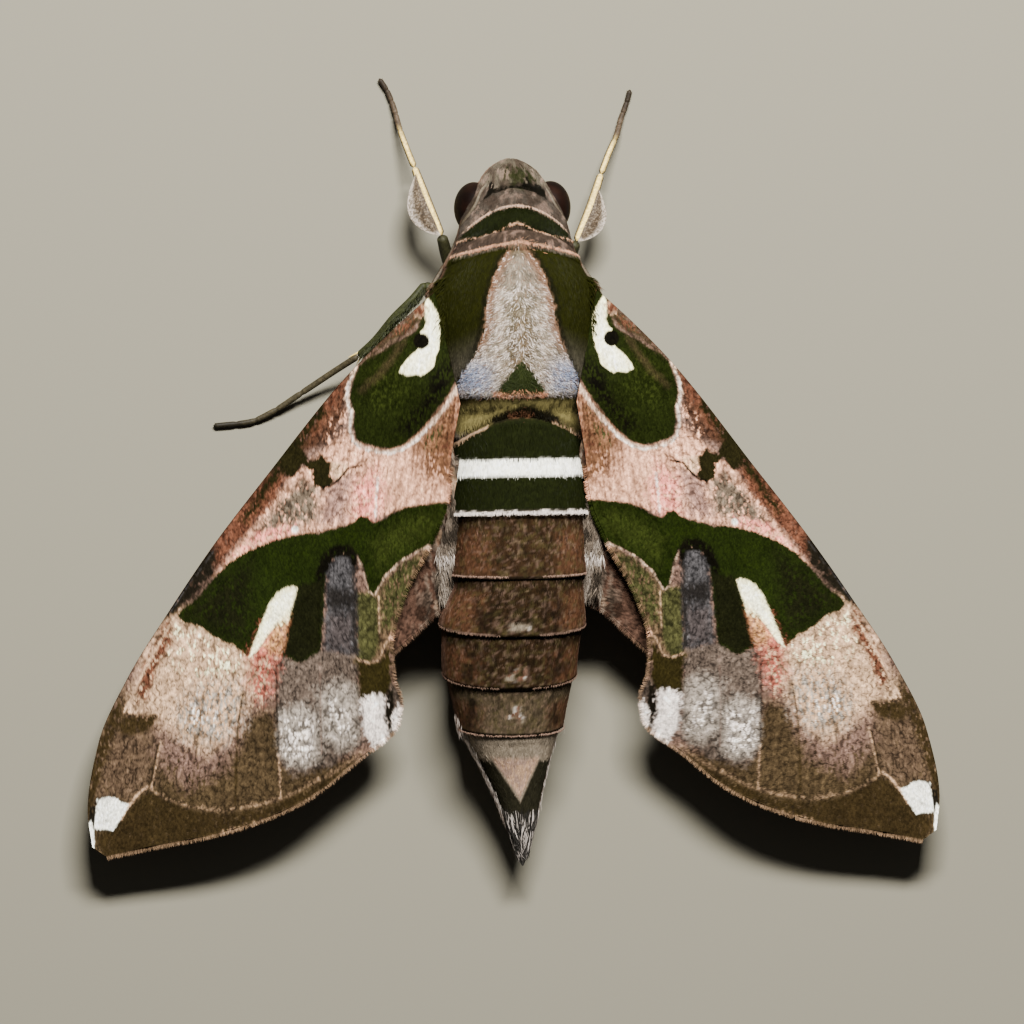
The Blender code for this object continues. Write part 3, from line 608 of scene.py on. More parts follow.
def add_limb(name, node, path, radius, sides, slot, paint):
    """A closed tube: path + radius * (cos a * across + sin a * up). paint gives the pigment from the share of the
    length and the turn round it."""
    _, across, up = frames_along(path)
    a = np.linspace(0, math.tau, sides, endpoint=False)
    ring = across[:, None] * np.cos(a)[None, :, None] + up[:, None] * np.sin(a)[None, :, None]
    points = (path[:, None] + ring * radius[:, None, None]).reshape(-1, 3)
    share = np.repeat(np.linspace(0, 1, len(path)), sides)
    colours = paint(np.append(share, (0, 1)), np.append(np.tile(a, len(path)), (0, 0)))
    add_piece(name, np.concatenate([points, path[[0, -1]]]), closed_tube(len(path), sides), LEG_FINISH, slot,
              colours, (node,))


# %% [markdown]
# ## Eyes
# A hawk moth's eye is a big dark ball with thousands of facets, so fine that it looks smooth. It is a whole
# ellipsoid, a hair smaller than its solid, with the facets as a cell pattern in the bump under a thin clear coat.
# The head's fur overhangs the inner half of the ball.

# %% The eye's finish
EYE_FINISH, eye_tree, eye_shader = new_material("compound eye", {
    "Roughness": 0.6, "Specular IOR Level": 0.05, "Coat Weight": 0.02, "Coat Roughness": 0.12})
eye_place = add_node(eye_tree, "TexCoord")
eye_cells = add_node(eye_tree, "TexVoronoi", {"Scale": 16000.0})
eye_tone = add_node(eye_tree, "TexNoise", {"Scale": 900.0})
eye_ramp = add_node(eye_tree, "ValToRGB")
for stop, position, colour in zip(eye_ramp.color_ramp.elements, (0.35, 0.75),
                                  ((0.0028, 0.0010, 0.0006, 1), (0.0095, 0.0034, 0.0018, 1))):
    stop.position, stop.color = position, colour
eye_bump = add_node(eye_tree, "Bump", {"Strength": 0.25, "Distance": 0.00001})
wire(eye_tree, (eye_place, "Object", eye_cells, "Vector"), (eye_place, "Object", eye_tone, "Vector"),
     (eye_tone, "Fac", eye_ramp, "Fac"), (eye_ramp, "Color", eye_shader, "Base Color"),
     (eye_cells, "Distance", eye_bump, "Height"), (eye_bump, "Normal", eye_shader, "Normal"))


# %% Both eyes
def ellipsoid(centre, radii, rows=48, columns=72):
    """centre + radii * (sin v cos a, cos v, sin v sin a): an ellipsoid with its poles front and rear."""
    v, a = np.meshgrid(np.linspace(0.02, np.pi - 0.02, rows), np.linspace(0, math.tau, columns, endpoint=False),
                       indexing="ij")
    ball = np.stack([np.sin(v) * np.cos(a), np.cos(v), np.sin(v) * np.sin(a)], axis=-1).reshape(-1, 3)
    return centre + np.concatenate([ball, [[0, 1, 0], [0, -1, 0]]]) * radii, closed_tube(rows, columns)


for word, side in SIDES:
    low, high = np.array(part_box("eye_" + word)) / MM
    centre = np.array([low[0] if side > 0 else high[0], (low[1] + high[1]) / 2, (low[2] + high[2]) / 2 - 0.25])
    add_piece("eyeball_" + word, *ellipsoid(centre, (1.52, 1.97, 2.02)), EYE_FINISH, "eye", nodes=("eye_" + word,))


# %% [markdown]
# ## Antennae and proboscis
# The antennae start inside the eyes, fold back along them and vanish under the front edges of the wings. They are
# ringed, pale with scales above and bare below. The proboscis is coiled under the face, tapering all the way in.

# %% Antennae and proboscis
ANTENNA_PATH = ((2, 21.5, 7.6), (2.46, 21, 8), (3, 19.9, 8.42), (3.45, 19.2, 8.22), (3.85, 18.6, 7.7), (4.05, 17.9, 7),
                (4.35, 17, 6.4), (4.95, 15.8, 6.2), (6.35, 13.3, 6.15), (6.9, 10, 5.9), (7.7, 7, 5.7), (8.5, 4.4, 5.4))
ANTENNA_RINGS = 72


def antenna_colour(share, turn):
    """Pale scales in a stripe along the top, bare brown horn below, a darker line between two rings."""
    colour = mix(flat("margin brown", len(share)), "tail grey", 0.35 * ramp(0.45, 0.8, np.sin(turn)))
    return colour * (0.7 + 0.3 * (np.sin(share * ANTENNA_RINGS * math.tau) > -0.6))[:, None]


for word, side in SIDES:
    middle = through(STATION, MIDLINE, np.array([20.0]))[0]
    share = np.linspace(0, 1, 4 * ANTENNA_RINGS + 1)
    path = along(ANTENNA_PATH, share) * (side, 1, 1) + (middle, 0, -0.10 * (1 + side))
    rings = 0.155 - 0.02 * np.abs(np.sin(share * ANTENNA_RINGS / 2 * math.tau)) ** 6
    hook = np.sqrt(np.clip((1 - share) / 0.04, 0, 1)) * np.sqrt(np.clip((share + 0.004) / 0.012, 0, 1))
    add_limb("antenna_stalk_" + word, "antenna_" + word, path, np.maximum(rings * hook, 0.02), 14, "horn",
             antenna_colour)

turn, steps = np.linspace(0, math.tau * 1.1, 180), np.arange(180)
reach = 1 - 0.62 * turn / turn[-1]
coil = np.stack([0 * turn + 0.35, 20.65 - reach * np.cos(turn), 3.8 - reach * np.sin(turn)], axis=-1)
radius = 0.235 * np.linspace(1, 0.5, 180) * np.sqrt(np.clip((180 - steps) / 10, 0, 1))
add_limb("proboscis_coil", "proboscis", coil, np.maximum(radius, 0.02), 20, "horn",
         lambda share, turn: flat("horn", len(share)) * (0.8 + 0.2 * np.sin(share * 400))[:, None])

# %% [markdown]
# ## Wings as sheets between two edges
# A wing is a sheet ruled between its front and rear edges: `(1 - t) * costa(s) + t * rear(s)`. Its height comes from
# two lines along it, the front edge and the ridge behind, with a rise between them shaped like a sine. The upper
# face has a point about every tenth of a millimetre, the size of one scale, because each point carries the pigment
# of its scale. The under face needs a quarter of that, and the rim joins the two.

# %% The wings' lines, as x and y, and the height along them
FOREWING_COSTA = ((6.1, 13.5), (8.9, 11), (12.7, 7.2), (18.5, 0), (22.5, -5.1), (25.9, -10), (29.1, -15), (31.4, -20),
                  (32.25, -25), (31.95, -27.6))
FOREWING_REAR = ((4.35, 5), (5, 1), (5.35, -2), (6.7, -5.6), (8.8, -9.6), (9.75, -13.2), (9.6, -15.6), (9, -17.4),
                 (9.2, -19), (12, -21.4), (16.5, -24.7), (22.5, -26.8), (27.5, -27.65), (31, -28.3))
HINDWING_COSTA = ((7.6, 6), (11, 0), (15, -8), (18.2, -15), (19.6, -19.2))
HINDWING_REAR = ((5.2, 4.2), (4.5, 0), (4.3, -5), (4.4, -9), (6.6, -10.9), (9.6, -13.6), (14, -17.2), (19, -19.8))
WING_ROOT, WING_TIP = (6.0, 13.0), (32.25, -28.0)
EDGE = ((0, 9.2), (5, 7.5), (10, 6), (20, 4.4), (30, 3.7), (40, 3.4), (49, 3.4))
RIDGE = ((0, 10.2), (5, 10.4), (9.5, 9.4), (12, 8.7), (17.5, 7.5), (24, 6.5), (30, 6.1), (36, 5.4), (42, 4.7),
         (49, 3.9))
WING_INSET = 0.07  # the upper face lies this far under the solid's
HINDWING_BELOW = 0.95  # and the hindwing this far under the forewing
COARSE = 4  # the under face has every fourth row and column


def wing_height(x, y):
    """Height of the spread forewing over a place on the ground, from its distances along and across the wing."""
    lengthwise = np.subtract(WING_TIP, WING_ROOT) / math.dist(WING_TIP, WING_ROOT)
    p = (x - WING_ROOT[0]) * lengthwise[0] + (y - WING_ROOT[1]) * lengthwise[1]
    q = (x - WING_ROOT[0]) * lengthwise[1] - (y - WING_ROOT[1]) * lengthwise[0]
    edge, ridge = through(*zip(*EDGE), p), through(*zip(*RIDGE), p)
    rise = np.sin(np.clip((q + 4.0) / 10.0, 0, 1) * math.pi / 2) ** 0.9
    return edge + (ridge - edge) * rise - 0.05 * np.maximum(0, q - 9.0) ** 2


def wing_plan(costa, rear, s, t):
    """Where the place (s, t) of a wing lies from above, on the right side."""
    return along(costa, s) * (1 - t)[..., None] + along(rear, s) * t[..., None]


def wing_sway(s, t):
    return 0.4 * t * bell(s, 0.5, 0.25)


# %% Distances to lines and areas
def distance_to_line(x, y, line):
    """Shortest distance from each place to a line through the given points."""
    best = np.full(np.shape(x), 1e9)
    for (x0, y0), (x1, y1) in zip(line, line[1:]):
        dx, dy = x1 - x0, y1 - y0
        u = np.clip(((x - x0) * dx + (y - y0) * dy) / (dx * dx + dy * dy), 0, 1)
        best = np.minimum(best, np.hypot(x - x0 - u * dx, y - y0 - u * dy))
    return best


def depth_in_area(x, y, corners):
    """Distance to the outline of an area, positive inside it: inside means crossed an odd number of times."""
    line = (*corners, corners[0])
    odd = np.zeros(np.shape(x), bool)
    for (x0, y0), (x1, y1) in zip(line, line[1:]):
        if y0 != y1:
            crosses = (y0 > y) != (y1 > y)
            odd ^= crosses & (x < (x1 - x0) * (y - y0) / (y1 - y0) + x0)
    return distance_to_line(x, y, line) * np.where(odd, 1, -1)


# %% [markdown]
# ## Veins and folds
# The veins run from the root to the outer edge and lift the scales into low ridges. Between them the sheet sags a
# little. Both show only in slanting light, but without them a wing looks like card.

# %% Veins
VEINS = (
    ((7.5, 8), (11, 2.5), (15, -3.5), (18.5, -9), (21, -12.5), (24.5, -16), (27.1, -19.8), (28, -23.5), (28.3, -27.8)),
    ((7.3, 6.5), (10.3, 0.5), (13.6, -5), (16.6, -9.5), (19.6, -13.5), (21, -16.8), (21.3, -18.7), (21.7, -26.6)),
    ((21, -12.5), (23.4, -15.5), (24.3, -19.5), (24.9, -23), (24.9, -27.3)),
    ((15.5, -8), (17.6, -11.5), (18.3, -14), (18.3, -20.9), (18.2, -25.4)),
    ((13.6, -5), (14.9, -9), (15.1, -14.7), (15.1, -20.7), (14.7, -23.4)),
    ((5.6, 3), (8, -1.5), (10.8, -4), (12.2, -8), (12.2, -14), (12, -21.2)),
    ((5.2, 1), (6.4, -3), (9, -7.5), (10.6, -12), (10, -17)),
    ((6.6, 12.4), (10.5, 8.4), (16.5, 1), (22, -6), (26.5, -13.5), (29.8, -20), (31.3, -25.5)),
    ((7.2, 10.8), (11.5, 5.5), (16.5, -1), (20.5, -6), (24, -11.5), (27.5, -17), (30.2, -23.5)),
)


def wing_relief(x, y):
    """Low ridges along the veins, a shallow sag between them, and a slow waviness of the whole sheet."""
    nearest = np.min([distance_to_line(x, y, vein) for vein in VEINS], axis=0)
    ridge, sag = 0.085 * bell(nearest, 0, 0.17), -0.07 * ramp(0.1, 1.3, nearest)
    return ridge + sag + 0.10 * (noise(x, y, 2.6, 31) - 0.5) + 0.03 * (noise(x, y, 0.7, 32) - 0.5)


# %% [markdown]
# ## Markings of the forewing
# The jade hawk moth's forewing is a picture of mossy bark: an oval and a band in dark green, pink between them, a
# white dash with a black dot at the shoulder, a pale wedge and a frosted patch near the tip. Each is written down in
# the wing's own measures, `across` from the body and `y` along it, and they are laid one over another like coats of
# paint: the large areas first, lines and spots last. An entry's numbers are how soft its edge is, how ragged, and
# how much of the scales it colours. It is an area if its width is 0, a line if it has one, and a spot of that radius
# if it has one place only.

# %% The forewing's markings
FOREWING_MARKS = (
    # pigment, softness, raggedness, share, width, then x and y of its places
    ("terminal brown", 1.3, 0.7, 1, 0, (13, -21, 17.6, -21.6, 18.3, -17.4, 20.5, -17.6, 21.8, -20.2, 24, -21.5,
        27, -19.6, 29.4, -17.8, 34, -17, 34, -30, 8, -30, 8, -20.5)),
    ("outer brown", 1.6, 0.6, 0.9, 0, (28.2, -16.5, 34, -12, 34, -24.5, 31.2, -24, 29.3, -24.2, 27.6, -22.8,
        27.2, -19.8)),
    ("distal brown", 1.6, 0.8, 0.8, 0, (20.8, -18, 27, -18.6, 27.4, -20.8, 25.2, -23.2, 22.2, -21.8)),
    ("distal white", 1.3, 0.9, 1, 0, (19.7, -12.6, 26.3, -9.2, 28.1, -13, 29.4, -16.9, 27.6, -18, 25.6, -19.6,
        23.6, -20.9, 21.8, -19.5, 20.6, -17.2, 19.4, -15.2)),
    ("cream", 1.4, 0.9, 0.08, 0, (20.6, -13.4, 26, -10.6, 27.2, -13.2, 24, -15.6, 21.5, -15.2)),
    ("lavender", 1.6, 0.9, 0.4, 0, (20.8, -15.4, 23.8, -15.2, 26, -17.4, 25.6, -19.6, 22.4, -20.2, 20.8, -18.4)),
    ("snow", 1.2, 0.9, 0.05, 0, (21.6, -16.4, 25, -16.8, 25.4, -18.9, 22.8, -19.2)),
    ("red brown", 0.5, 0.5, 0.8, 0, (26, -10.5, 26.7, -11, 28.6, -14.8, 29.3, -17.2, 28.3, -17.2, 27.4, -14.5,
        26.2, -12.6)),
    ("distal white", 0.3, 0.3, 0.7, 0, (28.1, -16.9, 29, -16, 29.8, -17.4, 28.9, -18)),
    ("margin brown", 0.5, 0.4, 0.9, 0, (27.2, -17.7, 29.6, -17.9, 30.8, -18.4, 29.8, -19.4, 27.6, -18.9)),
    ("margin brown", 0.5, 0.4, 0.8, 0, (29.6, -16.6, 30.6, -16.8, 32.2, -20.5, 33.2, -25, 32.4, -25.2, 31.3, -21.5)),
    # the purple-brown bays between the veins, each with a frosted patch
    ("plum brown", 0.3, 0.5, 1, 0, (12.2, -13.4, 14.9, -13.1, 15.4, -13.2, 16.4, -14, 17.9, -13.4, 18.3, -14,
        18.3, -21.4, 17.2, -22.6, 14.4, -21.9, 12.1, -20.4)),
    ("lavender", 1.4, 0.8, 1, 0, (12.2, -16.4, 13.6, -15.6, 15.1, -16.2, 15.1, -19.8, 13.4, -20.6, 12.2, -19.8)),
    ("lavender", 0.7, 0.7, 1, 0, (15.2, -18, 16.4, -17.2, 18.2, -17.6, 18.2, -21.2, 16.8, -22, 15.2, -21.4)),
    ("snow", 0.9, 0.8, 0.08, 0, (12.8, -17, 14.6, -16.9, 14.7, -19.4, 12.8, -19.6)),
    ("snow", 0.7, 0.8, 0.24, 0, (15.6, -18.4, 17.9, -18.2, 17.9, -21, 15.8, -21.3)),
    # the hind margin
    ("olive rust", 0.5, 0.7, 1, 0, (6.2, -4.8, 10.8, -8.4, 12.4, -9, 12.4, -14, 10.2, -14.2, 9.2, -12.2, 7.4, -8.4,
        5.9, -6)),
    ("olive", 0.5, 0.7, 0.75, 0, (8.6, -6.4, 10.4, -8.6, 10.5, -11.8, 9.6, -11.6, 8.4, -8.6, 7.4, -6.4)),
    ("olive", 0.3, 0.4, 1, 0, (10.6, -9.4, 11.3, -8.9, 12.3, -9, 12.3, -14, 11.2, -14.2, 10.6, -12.8)),
    ("dark olive", 0.3, 0.4, 1, 0, (9.8, -12.9, 10.6, -14, 12.3, -14, 12.2, -16.9, 10.2, -17, 9.7, -16)),
    ("plum brown", 0.3, 0.2, 1, 0, (8.2, -17.2, 9.8, -15.8, 10.2, -17, 10.1, -20.4, 8.6, -20.4)),
    ("snow", 0.35, 0.5, 1, 0, (10.1, -16.8, 11, -16.6, 12.1, -17, 11.9, -19.3, 11.2, -20.4, 10.2, -20.2)),
    ("slate", 0.2, 0.2, 0.85, 0, (9.6, -16, 10.1, -16.2, 10.3, -18.4, 9.8, -19.8, 9.5, -18.6)),
    ("snow", 0.3, 0.5, 0.9, 0, (8.6, -18, 9.3, -17.4, 9.8, -18.6, 9.7, -19.8, 9, -19.6)),
    # the pink band between the oval and the green band
    ("pale pink", 0.4, 0.5, 1, 0, (4, 6.4, 6.4, 4, 8.4, 2, 10.2, 1.7, 12.2, 2.4, 12.6, 3.2, 14, 2.2, 17.2, -0.4,
        22.9, -7.4, 18.5, -5, 13, -3.8, 11, -3.4, 8.5, -2.6, 4, -2.1)),
    ("salmon", 1.8, 0.9, 1, 0, (4, 7, 6.6, 4, 8, 2.4, 7.3, -0.2, 6, -1, 4, -1.5)),
    ("red brown", 1.6, 1, 0.2, 0, (4, 6, 5.6, 5, 6.8, 3.2, 6.4, 0.2, 5.6, -1.4, 4, -1.6)),
    ("olive", 0.9, 1, 0.25, 0, (5.2, 5, 5.9, 4.2, 7.2, 2.4, 7, 0.8, 6, 1.8, 5.2, 3.4)),
    ("pale pink", 1, 1, 0.25, 0, (4, 0.4, 6.6, 1.2, 8, 1.6, 7.4, -2.2, 4, -2.2)),
    ("rose", 1.4, 0.8, 0.75, 0, (10.6, 0.4, 12.4, -0.8, 12.5, -3.5, 10.8, -3.4, 10, -2)),
    ("grey pink", 1, 0.8, 0.9, 0, (12.3, 0.2, 14.3, -0.6, 15.2, -3.8, 12.8, -3.6)),
    ("khaki", 1.1, 0.8, 0.8, 0, (14.7, -0.9, 16.3, -0.2, 19.6, -3.6, 19.8, -4.6, 16.6, -4, 15.1, -3.4)),
    ("rose", 0.4, 0.5, 0.6, 0, (16.8, -3.6, 19.6, -4.3, 22.4, -6.6, 20.4, -5.5, 18.5, -4.9, 16.6, -4.3)),
    # the costal strip: brown-red, speckled, darker towards the tip
    ("speckle brown", 0.5, 0.6, 0.95, 0, (6.6, 13.6, 9.3, 10, 11.6, 8.2, 12.6, 6.2, 12.9, 4.2, 14.2, 2.4, 16.4, 1.5,
        18.2, -1.6, 20.6, -4.2, 22.8, -6.7, 24.5, -8.8, 28, -10, 20, 2, 8, 15)),
    ("pale pink", 0.5, 1, 0.22, 0, (12.4, 5, 13.6, 4.8, 14.6, 2.6, 13.2, 1.2, 12.3, 2.4)),
    ("red brown", 0.7, 0.7, 0.8, 0, (13.6, 6.8, 15.8, 3.8, 16.6, 2.2, 15.2, 2.8, 13.4, 5.2, 12.8, 6.8)),
    ("red brown", 0.6, 0.6, 0.9, 0, (17.4, -0.2, 19, 0.2, 21.4, -3, 23.7, -6.6, 22.7, -7, 20.6, -4.6, 18.4, -2)),
    ("slate", 0.6, 0.5, 0.95, 0, (22.6, -5.6, 23.6, -5, 27.5, -10.6, 26.2, -10.6, 24.4, -9.2, 22.8, -7.2)),
    ("olive brown", 0.5, 0.6, 0.75, 0, (14.6, 5.6, 18, 1.2, 21, -3.4, 20.4, -3.6, 17.4, 0.4, 14.2, 4.6)),
    # the small dark zigzag
    ("distal white", 0.3, 0.4, 0.8, 0, (12.7, 0.8, 14.2, 0.9, 14.3, 0, 13.5, -0.4, 12.8, 0.1)),
    ("olive brown", 0.15, 0.3, 1, 0, (14, 0.9, 14.6, 1.5, 15.7, 1, 16.1, 1.9, 17, 2.5, 17.9, 1.6, 17.7, 0.2,
        16.9, -0.2, 16.2, 0.7, 15.4, 0.3, 15.4, -0.7, 14.6, -1.1, 13.7, -0.9, 14, -0.2)),
    ("near black", 0.1, 0.12, 1, 0.18, (11.7, 0.6, 12.7, 0.4, 13.3, -0.3, 13.9, -0.8, 14.6, -1)),
    # the green band, with everything that is cut out of it
    ("band green", 0.12, 0.22, 1, 0, (4.6, -1.9, 5.3, -2.2, 7.5, -2.4, 8.5, -2.6, 9.5, -3, 10.3, -3.5, 10.8, -3.65,
        11.3, -3.3, 11.8, -3.15, 12.4, -3.6, 13, -3.85, 15, -4.4, 16.5, -4.4, 18.5, -4.9, 20.3, -5.6, 21.7, -6.4,
        23, -7.7, 24.5, -9.4, 25.9, -10.2, 25.3, -10.9, 24, -11.2, 22.9, -12.1, 21.5, -12.7, 20.4, -13.6, 19.8, -12.1,
        19, -10.6, 18.6, -9.9, 18.1, -8.9, 17.6, -8.6, 17, -8.35, 16.65, -8.45, 16.9, -9.3, 17.15, -10.1, 17.4, -11,
        17.6, -12, 17.8, -13, 17.9, -13.5, 16.6, -14.1, 16.2, -13.9, 15, -13.2, 14.65, -10, 14.55, -7.6, 14.05, -6.4,
        13.2, -5.95, 12.5, -6.4, 12.1, -6.2, 11.65, -7.4, 11.35, -8.8, 10.9, -9.1, 10.6, -8.7, 10.3, -8.1, 10, -7.6,
        9, -6.7, 7.8, -5.95, 6.9, -5.6, 6.1, -5.2, 5.2, -4.2)),
    ("inner green", 1.2, 0.8, 0.85, 0, (5.6, -2.7, 8.2, -3.1, 10.2, -4.2, 11.2, -5.4, 10.6, -7.4, 9, -6.2, 6.6, -4.9,
        5.8, -3.8)),
    ("block green", 0.5, 0.5, 0.95, 0, (14.7, -8, 16.5, -8.3, 17, -9.8, 17.6, -12.4, 17.8, -13.4, 16.5, -13.9,
        15.1, -13.1)),
    ("near black", 0.5, 0.3, 0.8, 0, (16.4, -12.2, 17.5, -11.4, 17.8, -13.4, 16.5, -13.9)),
    ("block green", 1.6, 0.6, 0.75, 0, (20, -6.2, 23, -8.4, 25.6, -10.4, 24, -11, 21.8, -12.2, 20.4, -12.6,
        20.2, -9)),
    ("near black", 0.35, 0.2, 0.85, 0, (12.2, -7.4, 12, -6, 12.7, -5.3, 13.8, -5.3, 14.8, -6, 15.3, -7.4, 15.3, -8.6,
        14.6, -7.6)),
    # the grey streak
    ("streak grey", 0.25, 0.3, 1, 0, (12.4, -7, 12.8, -6.3, 13.4, -6.1, 14, -6.5, 14.4, -7.4, 14.55, -9, 14.7, -13.2,
        12.3, -13.5, 12.3, -9)),
    ("streak low", 0.8, 0.6, 0.9, 0, (12.5, -10.4, 14.5, -10.4, 14.6, -13.2, 12.4, -13.4)),
    ("streak dark", 0.7, 0.6, 0.9, 0, (12.3, -8.6, 14.5, -8.5, 14.6, -10, 12.4, -10.2)),
    ("streak dark", 0.4, 0.4, 0.7, 0, (12.2, -7, 12.7, -7.2, 12.7, -13.4, 12.2, -13.5)),
    # the wedge
    ("wedge pink", 1.1, 0.9, 0.85, 0, (17.4, -11, 19.2, -11.2, 20.3, -13.6, 20.5, -15.6, 19.9, -17, 18.8, -16.4,
        18.3, -14.8, 17.9, -12.8)),
    ("distal white", 1.2, 1, 0.15, 0, (18.2, -13.5, 20.2, -13.6, 20.8, -17.6, 18.9, -17.4)),
    ("cream", 0.15, 0.12, 1, 0, (16.65, -8.45, 17, -8.35, 17.6, -8.5, 18.2, -8.85, 18.75, -9.6, 19.1, -10.4,
        19.8, -12, 20.35, -13.6, 19.6, -12.9, 18.6, -11.5, 17.5, -11.2, 17.3, -10.6, 16.9, -9.3)),
    ("apricot", 0.8, 0.9, 0.8, 0, (17.3, -10.6, 18.3, -11, 19.2, -12.6, 18.6, -13.4, 17.8, -12.9)),
    ("ivory", 0.3, 0.3, 0.9, 0, (16.9, -8.7, 17.8, -8.9, 18.8, -10.4, 19.3, -12, 18, -10.7, 17.1, -9.6)),
    ("block green", 0.3, 0.3, 1, 0, (14.7, -8, 16.5, -8.4, 16.8, -9.4, 17.1, -10.6, 17.45, -12, 17.75, -13.4,
        16.5, -13.9, 15.1, -13.1)),
    # the oval and what surrounds it
    ("line cream", 0.12, 0.24, 1, 0.3, (11.9, 8.1, 12.3, 7.3, 12.6, 6.4, 12.75, 5.6, 12.4, 4.6, 12.5, 3.4, 12.3, 2.5,
        11.7, 2, 10.4, 1.6, 9.6, 1.5, 8.4, 1.85, 7.4, 2.6, 6.5, 3.5, 5.9, 4.2, 5.3, 4.9, 4.5, 6.2, 3.8, 7.6)),
    ("deep green", 0.14, 0.14, 1, 0, (11.8, 8, 12.1, 7.3, 12.35, 6.4, 12.5, 5.6, 12.15, 4.6, 12.25, 3.4, 12.05, 2.6,
        11.5, 2.2, 10.3, 1.9, 9.6, 1.75, 8.5, 2.1, 7.5, 2.9, 6.7, 3.75, 6.1, 4.5, 5.5, 5.2, 4.7, 6.4, 4, 8, 5.2, 13.9,
        6.6, 13.4, 7.4, 10.6, 8.3, 10.1, 9.3, 9.6, 10.2, 9, 11.2, 8.6)),
    ("snow", 0.1, 0.22, 0.85, 0.1, (12.35, 7.2, 12.65, 6.4, 12.75, 5.6, 12.4, 4.6, 12.5, 3.3, 12.3, 2.4, 11.7, 1.85,
        10.4, 1.55, 9.5, 1.45, 8.5, 1.75, 7.4, 2.5, 6.5, 3.45)),
    ("inner green", 1.5, 0.8, 0.35, 0, (8, 8.4, 11, 7.6, 11.4, 5, 9.4, 4.2, 7.8, 6)),
    ("terminal brown", 0.5, 0.3, 0.6, 0.4, (8.5, 9.6, 10, 7.6, 11.6, 6.2)),
    ("near black", 1.3, 0.6, 0.5, 0, (4.2, 9, 6.2, 7.6, 7.2, 5.4, 9, 3.2, 8, 2.6, 4.8, 6.2)),
    # the costal strip beside the oval
    ("costal olive", 0.5, 0.6, 0.95, 0, (6.9, 12.6, 8.2, 11.5, 10.2, 9.6, 11.8, 8.2, 11.2, 8.6, 9.3, 9.6, 8.2, 10.2,
        7.4, 10.9, 6.8, 11.6)),
    ("red brown", 0.5, 0.7, 0.4, 0, (7.6, 11.6, 8.8, 11, 9.2, 10.2, 8, 10.6)),
    ("distal brown", 0.12, 0.3, 0.22, 0.06, (7.2, 13, 9.2, 11, 11.9, 8.4, 12.9, 7.4)),
    ("distal brown", 0.12, 0.3, 0.45, 0.06, (7.3, 10.9, 8.3, 10.2, 9.3, 9.9, 10.3, 9.1)),
    # the white dash at the shoulder, with its black dot
    ("cream", 0.1, 0.06, 1, 0, (6.55, 13.1, 6.1, 12.4, 5.75, 11.8, 5.6, 11, 5.65, 10, 5.75, 9.2, 6, 8.6, 6.15, 7.9,
        6.5, 7.6, 7.1, 7.2, 7.5, 7.35, 8.1, 7.2, 8.75, 7.5, 8.6, 7.9, 8.2, 8.4, 7.8, 8.8, 7.4, 9.1, 7.1, 9.5,
        7.1, 10.5, 6.8, 10.8, 6.65, 11.3, 6.75, 11.6, 6.75, 12.4)),
    ("ivory", 0.25, 0.1, 1, 0, (6.4, 12.6, 6, 11.8, 5.85, 11, 5.85, 10, 6, 9.2, 6.3, 8.4, 6.7, 7.8, 7.5, 7.5,
        8.3, 7.6, 7.8, 8.4, 7, 9.2, 6.6, 10.2, 6.5, 11.2)),
    ("near black", 0.1, 0.05, 1, 0.6, (7.05, 9.8)),
    ("distal white", 0.3, 0.5, 0.6, 0.48, (7.05, 12)),
    ("red brown", 0.25, 0.5, 1, 0.34, (7.1, 12.05)),
    # the pale Y, the line before the outer edge, and the tip
    ("line cream", 0.1, 0.2, 0.6, 0.08, (6.6, -5.35, 7, -5.6, 7.8, -5.95, 9, -6.7, 10, -7.6, 10.3, -8.1, 10.75, -8.9,
        10.9, -9.15, 11.35, -8.8, 11.65, -7.4, 12.1, -6.2)),
    ("distal white", 0.12, 0.15, 0.7, 0.1, (10.6, -9.2, 10.6, -12)),
    ("distal white", 0.12, 0.2, 0.7, 0.11, (9.5, -11.8, 10.2, -12.9, 10.7, -14, 11.4, -14.2, 12.2, -13.9)),
    ("pale pink", 0.15, 0.3, 0.5, 0.1, (6.6, -5.4, 7.8, -7.6, 9, -10.2, 9.8, -12.4)),
    ("distal white", 0.25, 0.6, 0.4, 0.12, (12, -20.8, 14, -22.3, 15.5, -23, 17.5, -24, 19.5, -24.6, 22.5, -25.1,
        25.2, -24.7, 27, -24, 27.8, -23.4)),
    ("margin brown", 0.5, 0.5, 0.8, 0, (11.6, -20.9, 15.5, -23.3, 19.5, -24.9, 23.5, -25.4, 23.5, -27.6, 16, -26.5,
        9, -21)),
    ("distal white", 0.45, 0.7, 0.5, 0.3, (10.2, -21, 12.6, -22.6, 16.5, -25, 20, -26.2, 22.5, -26.8)),
    ("distal brown", 0.35, 0.5, 0.45, 0.1, (22, -26.7, 25, -27.2, 28, -27.6)),
    ("margin brown", 0.3, 0.4, 0.9, 0, (23, -25.3, 25.2, -24.9, 27.9, -23.6, 28.6, -23.7, 30.4, -25.8, 31.4, -26.4,
        32, -27, 31.4, -29, 22.5, -28.6)),
    ("distal white", 0.12, 0.15, 0.9, 0.2, (28, -23.2, 28.6, -23.4, 29.8, -24.8, 30.2, -25.6)),
    ("white", 0.15, 0.2, 1, 0, (29.6, -24.5, 30.4, -24.1, 31.1, -23.9, 31.9, -24.1, 32.3, -26.2, 31.6, -26.3,
        30.8, -26.4, 30.2, -25.6)),
    ("slate", 0.1, 0.1, 0.9, 0, (32.05, -24.5, 32.5, -24.6, 32.7, -27, 32.3, -27.4)),
    ("white", 0.12, 0.1, 0.9, 0, (32.4, -25.6, 32.8, -26, 32.6, -27.9, 32.2, -28, 32.2, -26.6)),
    ("distal white", 0.12, 0.15, 0.9, 0.16, (25.5, -9.9, 27.2, -12.6, 29, -15.9, 29.8, -17.5)),
    # painted glint: a faint thin pale line along the front edge, over the slate patch
